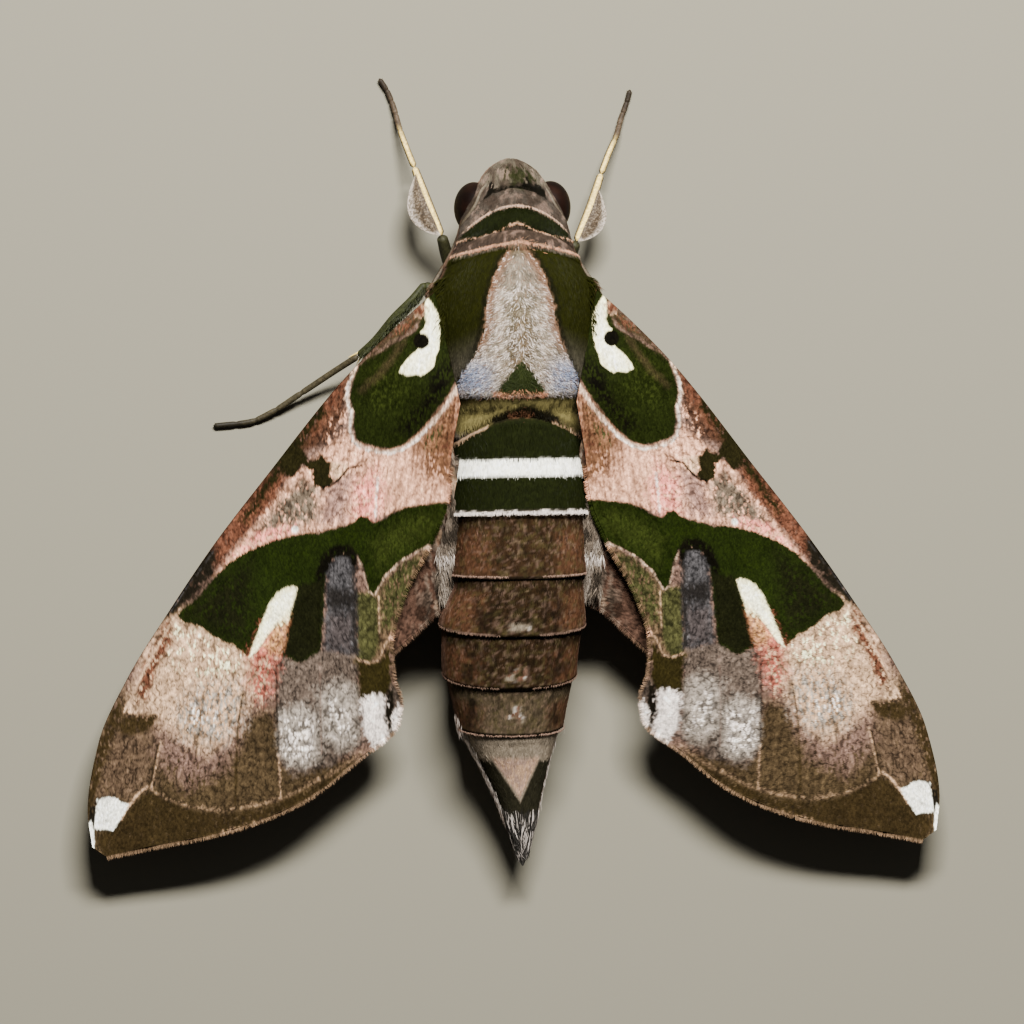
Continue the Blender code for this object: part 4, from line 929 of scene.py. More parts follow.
    ("streak grey", 0.1, 0.1, 0.8, 0.02, (22.8, -5.4, 24.6, -7.8, 26.3, -10.2)),
    # veins that show in colour
    ("near black", 0.12, 0.12, 0.75, 0.14, (18.35, -14.2, 18.35, -17.8, 18.3, -20.9)),
    ("distal white", 0.12, 0.2, 0.7, 0.13, (18.3, -21, 18.2, -24.3)),
    ("margin brown", 0.12, 0.12, 0.95, 0.15, (20.9, -16.4, 21.3, -18.7, 21.5, -22, 21.6, -24.6)),
    ("distal brown", 0.12, 0.2, 0.6, 0.09, (15.1, -14.2, 15.1, -20.9)),
    ("margin brown", 0.12, 0.12, 0.7, 0.12, (23.8, -16.5, 24.4, -20, 24.8, -23, 24.9, -27)),
    ("distal white", 0.12, 0.2, 0.6, 0.12, (27.1, -19.8, 27.9, -23.4)),
    ("margin brown", 0.12, 0.12, 0.75, 0.13, (27.3, -20, 28.1, -23.6, 28.3, -27.6)),
    ("snow", 0.15, 0.3, 0.8, 0.1, (10.5, -0.3, 10.7, -3.2)),
    ("white", 0.15, 0.1, 1, 0.24, (16.75, -4.1)),
)


def mark_mask(places, width, softness, raggedness, share, x, y, fray, grain):
    """How much each place is coloured by a mark: its signed distance, frayed by noise, made a soft step."""
    line = width and len(places) > 1
    if line:
        depth = width / 2 - distance_to_line(x, y, places)
    elif width:
        depth = width - np.hypot(x - places[0][0], y - places[0][1])
    else:
        depth = depth_in_area(x, y, places)
    full = np.clip(0.5 + (depth + raggedness * (fray - 0.5)) / softness, 0, 1)
    return full * (share if line else np.clip((share - grain) / 0.15 + full, 0, 1) if share < 1 else 1)


def paint_marks(base, marks, x, y, seed=50):
    """Lays the marks one over another on the base pigment."""
    colour = flat(base, *x.shape)
    grain = per_scale(x, y, 0.13, 0.26, seed)
    fray = 0.5 * noise(x, y, 0.32, seed + 1) + 0.5 * per_scale(x, y, 0.12, 0.22, seed + 2)
    for name, softness, raggedness, share, width, places in marks:
        places = tuple(zip(places[::2], places[1::2]))
        colour = mix(colour, name, mark_mask(places, width, softness, raggedness, share, x, y, fray, grain))
    return colour


# %% [markdown]
# ## Tone from scale to scale
# Up close no area of a wing is one colour. Single scales are paler or darker than their neighbours, and in the
# frosted parts whole patches of dark ones show through: one value for each scale, and a slower one for drifts.

# %% Speckle
def speckled(colour, x, y, seed, creased=1.0):
    """A hashed tone for each scale, a slow drift, and dark creases like worm tracks where the wing is pale."""
    tone = 1 + 0.35 * (per_scale(x, y, 0.10, 0.19, seed) - 0.5) * 1.8
    drift = 1 + 0.35 * (noise(x, y, 0.8, seed + 1) - 0.5)
    level = colour.mean(axis=-1)
    pale = ramp(0.010, 0.032, level) * ramp(0.80, 0.6, level) * creased
    bent_x = x + 0.22 * (noise(x, y, 0.26, seed + 4) - 0.5)
    bent_y = y + 0.28 * (noise(x, y, 0.26, seed + 5) - 0.5)
    crease = 1 - np.abs(2 * noise(bent_x, bent_y, 0.30, seed + 6, 0.36) - 1)
    dark = 1 - 0.70 * pale * ramp(0.78, 0.95, crease)
    light = 1 + 0.60 * pale * ramp(0.55, 0.15, crease)
    return colour * (tone * drift * dark * light)[..., None]


def under_colour(across, y):
    """Underside: rusty orange-brown with a greyer margin, powdered with dark scales."""
    colour = mix(flat("rust", *y.shape) * 1.6, "distal brown", ramp(-13, -24, y),
                 "outer brown", 0.6 * (noise(across, y, 0.9, 91) > 0.6))
    return speckled(colour, across, y, 92)


def forewing_colour(across, y):
    """The marks, fine streaks along the moth where the wing is pink, and the tone of each scale."""
    colour = paint_marks("distal brown", FOREWING_MARKS, across, y)
    streak = noise(across + 0.12 * y, y, 0.15, 62, 1.3)
    where = ramp(-5.5, -3.5, y) * ramp(9, 7, y) * ramp(0.02, 0.06, colour.mean(axis=-1))
    smooth = ramp(12.5, 9.0, across) * ramp(-5.0, -3.5, y)
    return speckled(colour * (1 + 0.9 * where * (streak - 0.5))[..., None], across, y, 60, 1 - 0.45 * smooth)


def hindwing_colour(across, y):
    """The hindwing shows a plum-brown corner behind the forewing; the rest, under it, is dark with a pale band."""
    tuft = between(across, 4.0, 6.2, 0.5) * ramp(0.5, 0.8, noise(across, y, 0.35, 74, 0.9))
    colour = mix(flat("hindwing plum", *y.shape),
                 "hindwing grey", 0.8 * (per_scale(across, y, 0.3, 0.8, 71) > 0.55) * ramp(9, 5, across),
                 "distal white", 0.6 * tuft, "near black", 0.6 * (noise(across, y, 0.5, 72, 1.5) > 0.72))
    return speckled(colour, across, y, 73)


# %% The wings' plates
WINGS = {"forewing": (FOREWING_COSTA, FOREWING_REAR, 0.0, forewing_colour),
         "hindwing": (HINDWING_COSTA, HINDWING_REAR, HINDWING_BELOW, hindwing_colour)}


def wing_upper(costa, rear, s, t, below, relief):
    """Upper face in the wing's own plan, and the marks' coordinates: distance out from the body as it is seen."""
    plan = wing_plan(costa, rear, s, t)
    x, y = plan[..., 0], plan[..., 1]
    high = wing_height(x, y) - below - WING_INSET
    across = 0.9935 * (x - wing_sway(s, t)) - 0.113 * high + 1.04
    rim = np.minimum(ramp(0, 0.02, t), ramp(0, 0.02, 1 - t))
    return x, y, high + relief * wing_relief(across, y) * rim, across


def build_wing(kind, word, side, rows, columns, relief, last=0.988):
    """A closed plate: fine upper face, coarse under face, and a rim that joins every fourth point to the other."""
    costa, rear, below, paint = WINGS[kind]
    s, t = np.meshgrid(np.linspace(0, 1, rows), np.linspace(0.004, last, columns), indexing="ij")
    x, y, high, across = wing_upper(costa, rear, s, t, below, relief)
    upper = np.stack([side * x + wing_sway(s, t), y, high], axis=-1)
    thick = 0.16 + 0.16 * np.minimum(1, np.minimum(t / 0.15, (last - t) / 0.15)) + 0.1 * ramp(0.06, 0, t)
    lower = (upper - np.stack([0 * x, 0 * x, thick], axis=-1))[::COARSE, ::COARSE]
    under = under_colour(across[::COARSE, ::COARSE], y[::COARSE, ::COARSE])
    fine = np.arange(rows * columns).reshape(rows, columns)
    coarse = np.arange(lower[..., 0].size).reshape(lower.shape[:2]) + fine.size
    rims = []
    for above, beneath, turned in ((fine[:, 0], coarse[:, 0], True), (fine[:, -1], coarse[:, -1], False),
                                   (fine[0], coarse[0], False), (fine[-1], coarse[-1], True)):
        strip = [*(above[k:len(above) - COARSE + k:COARSE] for k in range(COARSE)), above[COARSE::COARSE],
                 beneath[1:], beneath[:-1]]
        rims.append(np.stack(strip[::-1] if turned else strip, axis=-1))
    faces = grid_faces(rows, columns), grid_faces(*coarse.shape)[:, ::-1] + fine.size, np.concatenate(rims)
    colours = np.concatenate([paint(across, y).reshape(-1, 3), under.reshape(-1, 3)])
    add_piece("_".join((kind, "plate", word)), np.concatenate([upper.reshape(-1, 3), lower.reshape(-1, 3)]), faces,
              WING_FINISH, "wing_scale", colours, (kind + "_" + word,))


for word, side in SIDES:
    build_wing("forewing", word, side, 469, 157, 1.0)
    build_wing("hindwing", word, side, 161, 73, 0.6)

# %% [markdown]
# ## Legs
# Three pairs, each in the same three lengths as the solids: a furred femur against the body, a long tibia and a
# thin tarsus of five joints with two claws. The fore tibiae are cream along the top, the middle and hind legs olive.
# The feet lie on the floor, so the sole of each tarsus is at height 0.

# %% Where the legs run: femur, tibia, tarsus
SOLE = 0.24
HIND_LEG = (((3.5, 6.4, 1.95), (5.4, 4.9, 2.55), (7.2, 3.5, 3.4)),
            ((9.4, 0.3, 3), (11.2, -2.7, 2.3), (12.8, -5.4, 1.6)),
            ((14.3, -8.1, 0.7), (15.4, -10.1, SOLE), (17, -13.2, SOLE)))
LEGS = {
    "fore": {
        -1: (((3.6, 14.1, 2.45), (4.3, 15.9, 3.1), (4.9, 17.8, 4.2)), ((5.85, 20.5, 3.3), (6.65, 23, 2.15)),
             ((7.15, 24.5, 1.5), (7.6, 26, 0.9), (7.9, 27.4, 0.4), (8.35, 28.7, SOLE), (9, 29.785, SOLE))),
        1: (((3.85, 13.8, 2.4), (4.6, 15.4, 3), (5.3, 17.2, 4.1)), ((6.5, 19.8, 3.2), (7.5, 22.3, 2.15)),
            ((8.2, 23.9, 1.5), (8.9, 25.3, 0.9), (9.3, 26.5, 0.4), (9.8, 27.8, SOLE), (10.05, 28.7, SOLE)))},
    "mid": {
        -1: (((3.9, 9.6, 1.75), (5.1, 12, 2.9), (6.2, 14.2, 4.6)),
             ((7.25, 13, 4.7), (8.6, 11.65, 4.3), (10, 9.95, 3.5), (11.2, 8.85, 2.7)),
             ((13, 7.7, 1.8), (15.6, 6, 0.9), (17.6, 4.75, 0.45), (19.3, 4.05, SOLE), (22, 3.8, SOLE))),
        1: (((3.9, 9.6, 1.75), (5.1, 12, 2.8), (6.2, 13.9, 4.5)), ((7.2, 11.8, 4.4), (8, 9.9, 3.8), (9, 7.7, 2.9)),
            ((10.6, 5, 1.6), (12.2, 2.6, 0.7), (13.4, 0.8, SOLE), (14.8, -1.4, SOLE)))},
    "hind": {-1: HIND_LEG, 1: HIND_LEG},
}
TARSUS_JOINTS = np.array((0.42, 0.60, 0.74, 0.86))


# %% The legs themselves
def leg_colour(pair, length, share, turn, seed):
    """Cream on top of the foreleg's tibia and half its tarsus, olive elsewhere, dark underneath and at the end."""
    grain = lattice((share * 90).astype(np.int64), (turn * 3).astype(np.int64), seed)
    top, inner = np.sin(turn), np.cos(turn)
    colour = flat("leg olive", len(share))
    if pair == "fore" and length != "femur":
        cream = ramp(0.25, 0.6, top) * ramp(0.60, 0.40, inner) * ramp(-0.85, -0.6, inner)
        cream = cream * (ramp(0.50, 0.30, share) if length == "tarsus" else 1)
        colour = mix(colour, "leg brown", 1.0, "leg cream", cream)
    elif length == "tarsus":
        colour = mix(colour, "leg brown", 0.35)
    elif pair == "mid":
        colour = mix(colour, "inner green", 0.5)
    colour = mix(colour, "near black", 0.8 * ramp(-0.2, -0.6, top))
    if length == "tarsus":
        colour = mix(colour, "near black", 0.7 * ramp(0.62, 0.92, share))
    return colour * (0.7 + 0.6 * grain)[:, None]


def leg_radius(length, share):
    """Femur and tibia swell a little in the middle; the tarsus narrows towards the claws, pinched at its joints."""
    swell = np.sin(math.pi * np.clip(share, 0, 1))
    if length == "femur":
        return 0.38 + 0.10 * swell ** 0.7
    if length == "tibia":
        return 0.26 + 0.07 * swell ** 0.5
    return (0.25 - 0.05 * share) * (1 - 0.22 * sum(bell(share, joint, 0.012) for joint in TARSUS_JOINTS))


def build_leg(pair, word, side):
    """Three tubes, each overlapping the next at the joint, and rounded at both ends."""
    hip, shin, foot = LEGS[pair][side]
    lengths = (("femur", hip, 40, 18), ("tibia", hip[-1:] + shin, 90, 18), ("tarsus", shin[-1:] + foot, 180, 12))
    for number, (length, points, steps, sides) in enumerate(lengths):
        share = np.linspace(0, 1, steps)
        path = along(points, share) * (side, 1, 1)
        from_end = np.minimum(share, 1 - share) * np.linalg.norm(np.diff(path, axis=0), axis=1).sum()
        radius = leg_radius(length, share) * np.sqrt(np.clip(from_end / 0.25, 0.004, 1))
        path[:, 2] = np.maximum(path[:, 2], radius + 0.005)
        seed = 200 + 10 * number + (side > 0)
        add_limb("_".join((pair, length, "skin", word)), "_".join((pair, length, word)), path, radius, sides,
                 "leg_scale", lambda share, turn: leg_colour(pair, length, share, turn, seed))


for pair in LEGS:
    for word, side in SIDES:
        build_leg(pair, word, side)

# %% [markdown]
# ## Claws, spurs and the leaf on the fore tibia
# Each tarsus ends in two curved claws. The middle tibia has one pair of spurs and the hind tibia two. The fore tibia
# carries the moth's comb for its antennae, hidden under a leaf of long flat scales with a pale rim.


# %% Thorns: claws and spurs
def add_thorns(name, roots, directions, bends, length, radius, hue, sides=8, steps=10):
    """Curved cones: root + direction * length * u + bend * u^2, with the radius falling as 1 - u^1.5."""
    roots, directions, u = np.array(roots), unit(np.array(directions)), np.linspace(0, 1, steps)[:, None]
    path = roots[:, None] + directions[:, None] * length * u + np.array(bends)[:, None] * u ** 2
    across = unit(np.cross(directions, (0.02, 0.03, 1.0)))
    a = np.linspace(0, math.tau, sides, endpoint=False)[:, None]
    ring = across[:, None] * np.cos(a) + np.cross(across, directions)[:, None] * np.sin(a)
    points = path[:, :, None] + ring[:, None] * (radius * (1 - 0.97 * u ** 1.5))[:, :, None]
    base = (np.arange(len(roots)) * steps * sides)[:, None]
    quads = (grid_faces(steps, sides, wrap=True) + base[:, None]).reshape(-1, 4)
    caps = np.concatenate([np.arange(sides)[::-1] + base, np.arange(sides) + (steps - 1) * sides + base])
    points = points.reshape(-1, 3)
    add_piece(name, points, [quads, caps], LEG_FINISH, "horn", flat(hue, len(points)))


claw_roots, claw_ways, claw_bends, spur_roots, spur_ways = [], [], [], [], []
for pair, sides in LEGS.items():
    for side in (-1, 1):
        hip, shin, foot = sides[side]
        before, end = np.array(foot[-2:]) * (side, 1, 1)
        way = unit(end - before)
        level = np.cross(way, (0, 0, 1))
        shin = np.array(hip[-1:] + shin) * (side, 1, 1)
        along_shin = unit(shin[-1] - shin[-2])
        beside = np.cross(along_shin, (0, 0, 1))
        for lean in (-1, 1):
            claw_roots.append(end - 0.42 * way + 0.07 * lean * level + (0, 0, 0.03))
            claw_ways.append(way + 0.35 * lean * level + (0, 0, 0.10))
            claw_bends.append(0.05 * lean * level + (0, 0, -0.13))
        for place in {"fore": (), "mid": (0.97,), "hind": (0.62, 0.97)}[pair]:
            for lean in (-1, 1):
                spur_roots.append(along(shin, np.array([place]))[0] + 0.2 * lean * beside - (0, 0, 0.12))
                spur_ways.append(along_shin + 0.30 * lean * beside + (0, 0, -0.12))
add_thorns("claws", claw_roots, claw_ways, claw_bends, 0.36, 0.06, "margin brown")
add_thorns("spurs", spur_roots, spur_ways, np.zeros((len(spur_roots), 3)), 1.0, 0.085, "leg cream")


# %% The leaf of scales on each fore tibia
def build_leaf(word, side, end, width, rows=72, columns=32):
    """A thin lens bulging outwards from the tibia: width * sin(pi u^0.8), pale at its rim and speckled inside."""
    u, v = np.meshgrid(np.linspace(0, 1, rows), np.linspace(0, 1, columns), indexing="ij")
    hip, shin, _ = LEGS["fore"][side]
    path = along(hip[-1:] + shin, end * u.ravel()).reshape(rows, columns, 3)
    out = width * np.sin(math.pi * u ** 0.8) ** 0.9 * v
    bulge = 0.16 * np.sin(math.pi * v) * np.sin(math.pi * u)
    upper = path + np.stack([out + 0.1, -0.32 * out, 0.30 - 0.42 * out + bulge], axis=-1)
    points = np.concatenate([upper.reshape(-1, 3), (upper - (0, 0, 0.14)).reshape(-1, 3)]) * (side, 1, 1)
    faces, index = grid_faces(rows, columns), np.arange(rows * columns).reshape(rows, columns)
    rim = np.concatenate([index[0], index[1:, -1], index[-1, -2::-1], index[-2:0:-1, 0]])
    after = np.roll(rim, -1)
    wall = np.stack([after, rim, rim + index.size, after + index.size], axis=-1)
    grain = per_scale(u * 70, v * 20, 0.6, 1.1, 77 + side)
    pale = np.maximum(ramp(0.55, 0.92, v), ramp(0.10, 0.02, u))
    colour = mix(flat("leg brown", rows, columns) * 1.2, "tail grey", 0.45 * (grain > 0.70),
                 "near black", 0.5 * (grain < 0.35), "tail grey", 0.9 * pale, "snow", 0.35 * pale * (grain > 0.4))
    colours = np.concatenate([colour.reshape(-1, 3), 0.5 * colour.reshape(-1, 3)])
    add_piece("fore_leaf_" + word, points, [faces, faces[:, ::-1] + index.size, wall], LEG_FINISH, "leg_scale",
              colours)


build_leaf("L", -1, 0.90, 1.5)
build_leaf("R", 1, 0.78, 1.4)

# %% [markdown]
# ## The coat
# A moth's fur is made of scales drawn out into hairs. They grow in tufts that overlap like thatch: backwards on
# collar and abdomen, outwards from the midline on the crest, forwards on the face. Each tuft here is a closed spike
# of ten triangles: a triangle at the root, a smaller one half way, and a point. A piece of coat is thousands of
# them, computed together. Every tuft takes its colour from the skin's own marking at its root, so that coat and skin
# carry one pattern, and gets a tiny patch of the map that later holds baked colour, at the place where it grows.

# %% Tufts from arrays
TUFT_UV = 0.003 * np.array([(0, 0), (0, 0.5), (0, 1), (0.5, 0.1), (0.5, 0.5), (0.5, 0.9), (1, 0.5)])
TUFT_QUADS = np.array([(0, 1, 4, 3), (1, 2, 5, 4), (2, 0, 3, 5)])
TUFT_TRIANGLES = np.array([(3, 4, 6), (4, 5, 6), (5, 3, 6), (0, 2, 1)])
TUFT_SHARE = np.array([0, 0, 0, 0.5, 0.5, 0.5, 1])[:, None]
RANDOM = np.random.default_rng(20)


def tuft_points(roots, normals, lies, lengths, widths, lifts, curls):
    """root + length * (lie * u * cos(lift) + normal * (lift * u - curl * u^2)), with triangles at u = 0 and 0.5."""
    lies = unit(lies - np.sum(lies * normals, axis=1, keepdims=True) * normals)
    across = np.cross(normals, lies)
    rows = []
    for u, width in ((0.0, 1.0), (0.5, 0.85), (1.0, 0.0)):
        rise = (lifts * u - curls * u * u)[:, None] * normals
        middle = roots + lengths[:, None] * (lies * u * np.cos(lifts)[:, None] + rise)
        half = (0.5 * width * widths)[:, None]
        rows += [middle - half * across, middle + 0.8 * half * normals, middle + half * across]
    return np.stack(rows[:7], axis=1)


def add_coat(name, points, root_colour, tip_colour, uv, slot="body_fur", material=HAIR_FINISH):
    """Joins tufts into one piece: quads and triangles of every tuft, its two colours, and its patch on the map."""
    base = (np.arange(len(points)) * 7)[:, None, None]
    colours = root_colour[:, None] * (1 - TUFT_SHARE) + tip_colour[:, None] * TUFT_SHARE
    piece = add_piece(name, points.reshape(-1, 3), [(TUFT_QUADS + base).reshape(-1, 4),
                      (TUFT_TRIANGLES + base).reshape(-1, 3)], material, slot, colours.reshape(-1, 3), smooth=False)
    layer = piece.data.uv_layers.new(name="OFBake")
    at = (np.clip(uv, 0.002, 0.995)[:, None] + TUFT_UV).reshape(-1, 2)
    corners = np.empty(len(piece.data.loops), np.int32)
    piece.data.loops.foreach_get("vertex_index", corners)
    layer.data.foreach_set("uv", at[corners].astype(np.float32).ravel())


# %% [markdown]
# ## Where the tufts of the body grow
# Roots are drawn at random on the body's two parameters and kept with a chance that follows the area there, so the
# coat is equally dense everywhere. Two small steps along the parameters give the directions towards the tail and
# round the body, and their cross product the normal.


# %% Roots on the body
def body_frame(station, turn, step=0.02):
    """Skin point, outward normal, direction to the tail, direction away from the midline, and area of one step."""
    here = body_surface(station, turn)
    back = body_surface(station - step, turn) - here
    round_it = body_surface(station, turn + step) - here
    high = (through(STATION, TOP, station) + through(STATION, UNDER, station)) / 2
    centre = np.stack([through(STATION, MIDLINE, station), station, high], axis=-1)
    normal = unit(np.cross(back, round_it))
    normal *= np.sign(np.sum(normal * (here - centre), axis=1, keepdims=True))
    outward = unit(round_it) * np.where(turn < 0, -1, 1)[:, None]
    area = np.linalg.norm(np.cross(back, round_it), axis=1)
    return body_skin(station, turn), normal, unit(back), outward, area


def either_side(count):
    """-1 or 1 at random."""
    return RANDOM.choice((-1, 1), count)


def scatter(count, stations, turns, keep=lambda station, turn: 1):
    """Random places with both signs of turn, thinned to even density by area, then by the keep function."""
    station = RANDOM.uniform(*stations, count * 4)
    turn = RANDOM.uniform(*turns, count * 4) * either_side(count * 4)
    area = body_frame(station, turn)[-1]
    chance = area / np.percentile(area, 97) * keep(station, turn)
    chosen = np.flatnonzero(RANDOM.random(count * 4) < chance)[:count]
    return station[chosen], turn[chosen]


def coat(name, station, turn, back, out, length, width, lift, curl,
         tint=lambda colour, station, turn: colour, tip=1.15, root=0.8, jitter=0.18, bury=0.03):
    """Grows tufts at the given roots. back and out weigh the two directions of the lie; tint changes the colour."""
    count = len(station)
    skin, normal, tailward, outward, _ = body_frame(station, turn)
    lie = (tailward.T * back + outward.T * out).T + RANDOM.normal(0, jitter, (count, 3))
    lengths = RANDOM.uniform(*length, count) if isinstance(length, tuple) else length
    # the tufts take the skin's pigment at their roots, its painted shade and painted light included
    colour = tint(body_colour(station, turn, lines=False), station, turn)
    shade = RANDOM.uniform(0.8, 1.2, (count, 1))
    shape = (RANDOM.uniform(*limits, count) for limits in (width, lift, curl))
    points = tuft_points(skin - bury * normal, normal, lie, lengths, *shape)
    uv = np.stack([(station + 31) / 56, (turn + math.pi) / math.tau], axis=-1)  # stations run from -31 to 25
    add_coat(name, points, colour * root * shade, colour * tip * shade, uv)


def dyed(name, share, second="snow", chance=0.0, second_share=0.0):
    """A tint: a share of one pigment on every tuft and, by chance, a share of a second one on some."""
    def tint(colour, station, turn):
        some = RANDOM.random(len(station)) < chance if chance else 0.0
        return mix(colour, name, share, second, second_share * some)
    return tint


# %% [markdown]
# ## Head and collar
# The face is short-furred and lies forwards and down, the crown spreads forwards and out over the eyes, and the
# collar lies back in two rolls. Pale tufts stand along the lines between them.


# %% Coat of the head
def before_slit(station, turn):
    """True on the face: ahead of the slit above it, and everywhere underneath."""
    _, x, y = lateral_of(station, turn)
    return (y > face_slit(x) - 0.02) | (np.cos(turn) < 0.1)


s, a = scatter(9500, (21.2, 23.45), (0, math.pi), before_slit)
coat("coat_face", s, a, -1, 0.15, (0.24, 0.45), (0.05, 0.10), (0.10, 0.35), (0.1, 0.3), tip=1.3)

s, a = scatter(7000, (19.6, 21.9), (0, 1.5), lambda s, a: ~before_slit(s, a))
coat("coat_crown", s, a, 0.5, 0.35, (0.30, 0.55), (0.05, 0.09), (0.15, 0.4), (0.15, 0.35), tip=1.35)

s, a = scatter(1500, (18.6, 21.4), (1.05, 1.45))
coat("coat_brow", s, a, 0.45, 1, (0.35, 0.65), (0.05, 0.09), (0.20, 0.45), (0.35, 0.6), dyed("crown grey", 0.8), 1.4)

s, a = scatter(3200, (17.5, 21.3), (1.9, math.pi))
coat("coat_throat", s, a, 0.9, 0.25, (0.5, 0.9), (0.07, 0.12), (0.2, 0.5), (0.2, 0.5), tip=1.2)

s, a = scatter(11500, (16.3, 20.1), (0, 1.9))
coat("coat_collar", s, a, 1, 0.2, (0.30, 0.50), (0.05, 0.10), (0.10, 0.26), (0.15, 0.35))


# %% Pale tufts along the lines of head and collar
def along_line(line, widest, count, jitter):
    """Stations and turns of places on a line given as y against the distance from the midline."""
    lateral = RANDOM.uniform(0, widest, count)
    station = line(lateral) + RANDOM.normal(0, jitter, count)
    side = either_side(count)
    turn = np.arcsin(np.clip(lateral / half_width(station), 0, 0.995) ** 1.1)
    for _ in range(3):
        station = station + (line(lateral) - lateral_of(station, turn)[2])
        turn = np.arcsin(np.clip(lateral / half_width(station), 0, 0.995) ** (squareness(station) / 2))
    return station + RANDOM.normal(0, jitter, count), turn * side


for name, line, widest, count, stray, hue, pink in (
        ("coat_crown_line", crown_line, 3.8, 520, 0.018, "line cream", 0.15),
        ("coat_collar_line", collar_line, 4.6, 480, 0.02, "distal white", 0.4),
        ("coat_shoulder_line", shoulder_line, 5.1, 900, 0.05, "distal white", 0.6)):
    s, a = along_line(line, widest, count, stray)
    kept = noise(a * 4, s, 0.22, 88) + RANDOM.uniform(-0.15, 0.15, count) > 0.22
    coat(name, s[kept], a[kept], 1, 0.15, (0.12, 0.30), (0.025, 0.045), (0.05, 0.35), (0.1, 0.4),
         dyed(hue, 0.75, "pink line", pink, 0.8), root=0.7, jitter=0.55, bury=-0.07)

# %% [markdown]
# ## Thorax
# The crest is the longest fur of all. It parts along the midline and combs outwards and back, whitish with tan
# roots, and its ends hang over the flaps' inner edges as a tan fringe. The flaps themselves are velvet: short, dense
# and dark.


# %% Crest, fringe and flaps
def on_crest(station, turn):
    """Between the flaps' inner edges, behind the shoulder line."""
    lateral, _, y = lateral_of(station, turn)
    return (lateral < tegula_inner(y)) * ramp(5.4, 5.8, y) * (y < shoulder_line(lateral) + 0.1)


def on_flap(station, turn):
    """Outside the flaps' inner edges, behind the shoulder line."""
    lateral, _, y = lateral_of(station, turn)
    return (lateral > tegula_inner(y) - 0.1) * (y > 5.2) * (y < shoulder_line(lateral) + 0.05)


def crest_tint(colour, station, turn):
    """Many pale tufts, some tan and a few grey ones, and blue-grey ones towards the rear corners."""
    lateral, _, y = lateral_of(station, turn)
    pick = RANDOM.random(len(station))
    edge = ramp(0.9, 0.2, tegula_inner(y) - lateral) * ramp(8.5, 10.0, y)
    colour = mix(
        colour, "snow", 0.55 * (pick < 0.20 - 0.16 * ramp(13.0, 14.6, y)),
        "crest tan", 0.7 * ((pick > 0.86) | (edge > RANDOM.random(len(y)))),
        "hind olive", 0.55 * (pick > 0.45) * between(lateral, -1, 1.2, 0.5) * between(y, 7.5, 13.0, 1.0),
        "crest blue", 0.5 * between(y, 5.9, 8.1, 0.9) * between(lateral, 2.5, 9, 1.1) * (pick < 0.6))
    green = (y < 8.3 - 1.18 * lateral) * (lateral < 2.4)
    return np.where(green[:, None], body_colour(station, turn, lines=False), colour)


s, a = scatter(19500, (5.3, 17.6), (0, 1.25), on_crest)
lateral, _, y = lateral_of(s, a)
coat("coat_crest", s, a, np.where(y > 14, 0.9, 0.6), 0.30 + 0.4 * np.minimum(lateral, 1.5), (0.32, 0.62),
     (0.035, 0.065), (0.18, 0.50), (0.2, 0.5), crest_tint, 1.4, 0.62, 0.36)

s, a = RANDOM.uniform(16.4, 17.4, 90), RANDOM.normal(0.08, 0.09, 90)
coat("coat_crest_start", s, a, 0.8, 0.4, (0.30, 0.60), (0.02, 0.035), (0.4, 0.9), (0.2, 0.8),
     dyed("distal white", 0.5, "pink line", 0.4, 0.7), jitter=0.6)

y = np.linspace(6.2, 16.4, 300)[RANDOM.integers(0, 300, 3200)]
s, x = y + RANDOM.normal(0, 0.03, 3200), tegula_inner(y) - RANDOM.uniform(0.0, 0.3, 3200)
a = np.arcsin(np.clip(x / half_width(s), 0, 0.99) ** 1.1) * either_side(3200)
coat("coat_crest_fringe", s, a, 0.35, 1, (0.25, 0.55), (0.035, 0.06), (0.25, 0.55), (0.35, 0.6),
     dyed("crest tan", 0.8, "snow", 0.4, 0.6), 1.5, 0.6, 0.25)

s, a = scatter(14500, (5.2, 17.2), (0.3, 1.75), on_flap)
coat("coat_flaps", s, a, 1, 0.35, (0.32, 0.55), (0.07, 0.12), (0.06, 0.20), (0.1, 0.3), tip=1.5, root=0.85)

s, a = scatter(3400, (7.0, 15.6), (1.15, 1.62))
coat("coat_flap_edge", s, a, 0.9, 0.1, (0.9, 1.5), (0.11, 0.19), (0.55, 0.95), (0.25, 0.6), tip=1.3, root=0.9,
     jitter=0.22)


def hem_tint(colour, station, turn):
    """White on the crest's rear corners and pink between them."""
    corner = lateral_of(station, turn)[0] > 1.9
    return mix(colour, "crest white", 0.8 * corner, "pink line", 0.6 * ~corner)


s, a = along_line(lambda lateral: 5.85 + 0.10 * np.maximum(lateral - 2.2, 0), 4.9, 1900, 0.10)
coat("coat_crest_hem", s, a, 1, 0.35, (0.30, 0.62), (0.04, 0.07), (0.2, 0.5), (0.35, 0.6), hem_tint, 1.6, jitter=0.28)

s, a = scatter(7000, (5.0, 17.5), (1.75, math.pi))
coat("coat_breast", s, a, 0.8, 0.1, (0.7, 1.25), (0.08, 0.14), (0.2, 0.5), (0.2, 0.5), tip=1.3, root=0.7, jitter=0.25)

# %% [markdown]
# ## Abdomen
# Here the fur is short and lies flat, so most of it is left to colour and bump, and the tufts only roughen it. They
# are longer where the real ones break the outline: at the waist, on the sides near the tail, and at the tail itself.
# A row of pale ones marks the rear edge of each ring.


# %% Rings and their fringes
def off_edges(station, turn):
    """False where a long tuft would hang over a ring's rear edge and make it ragged."""
    return np.abs(station[:, None] - np.array(PARTINGS[1:]) - 0.17).min(axis=1) > 0.19


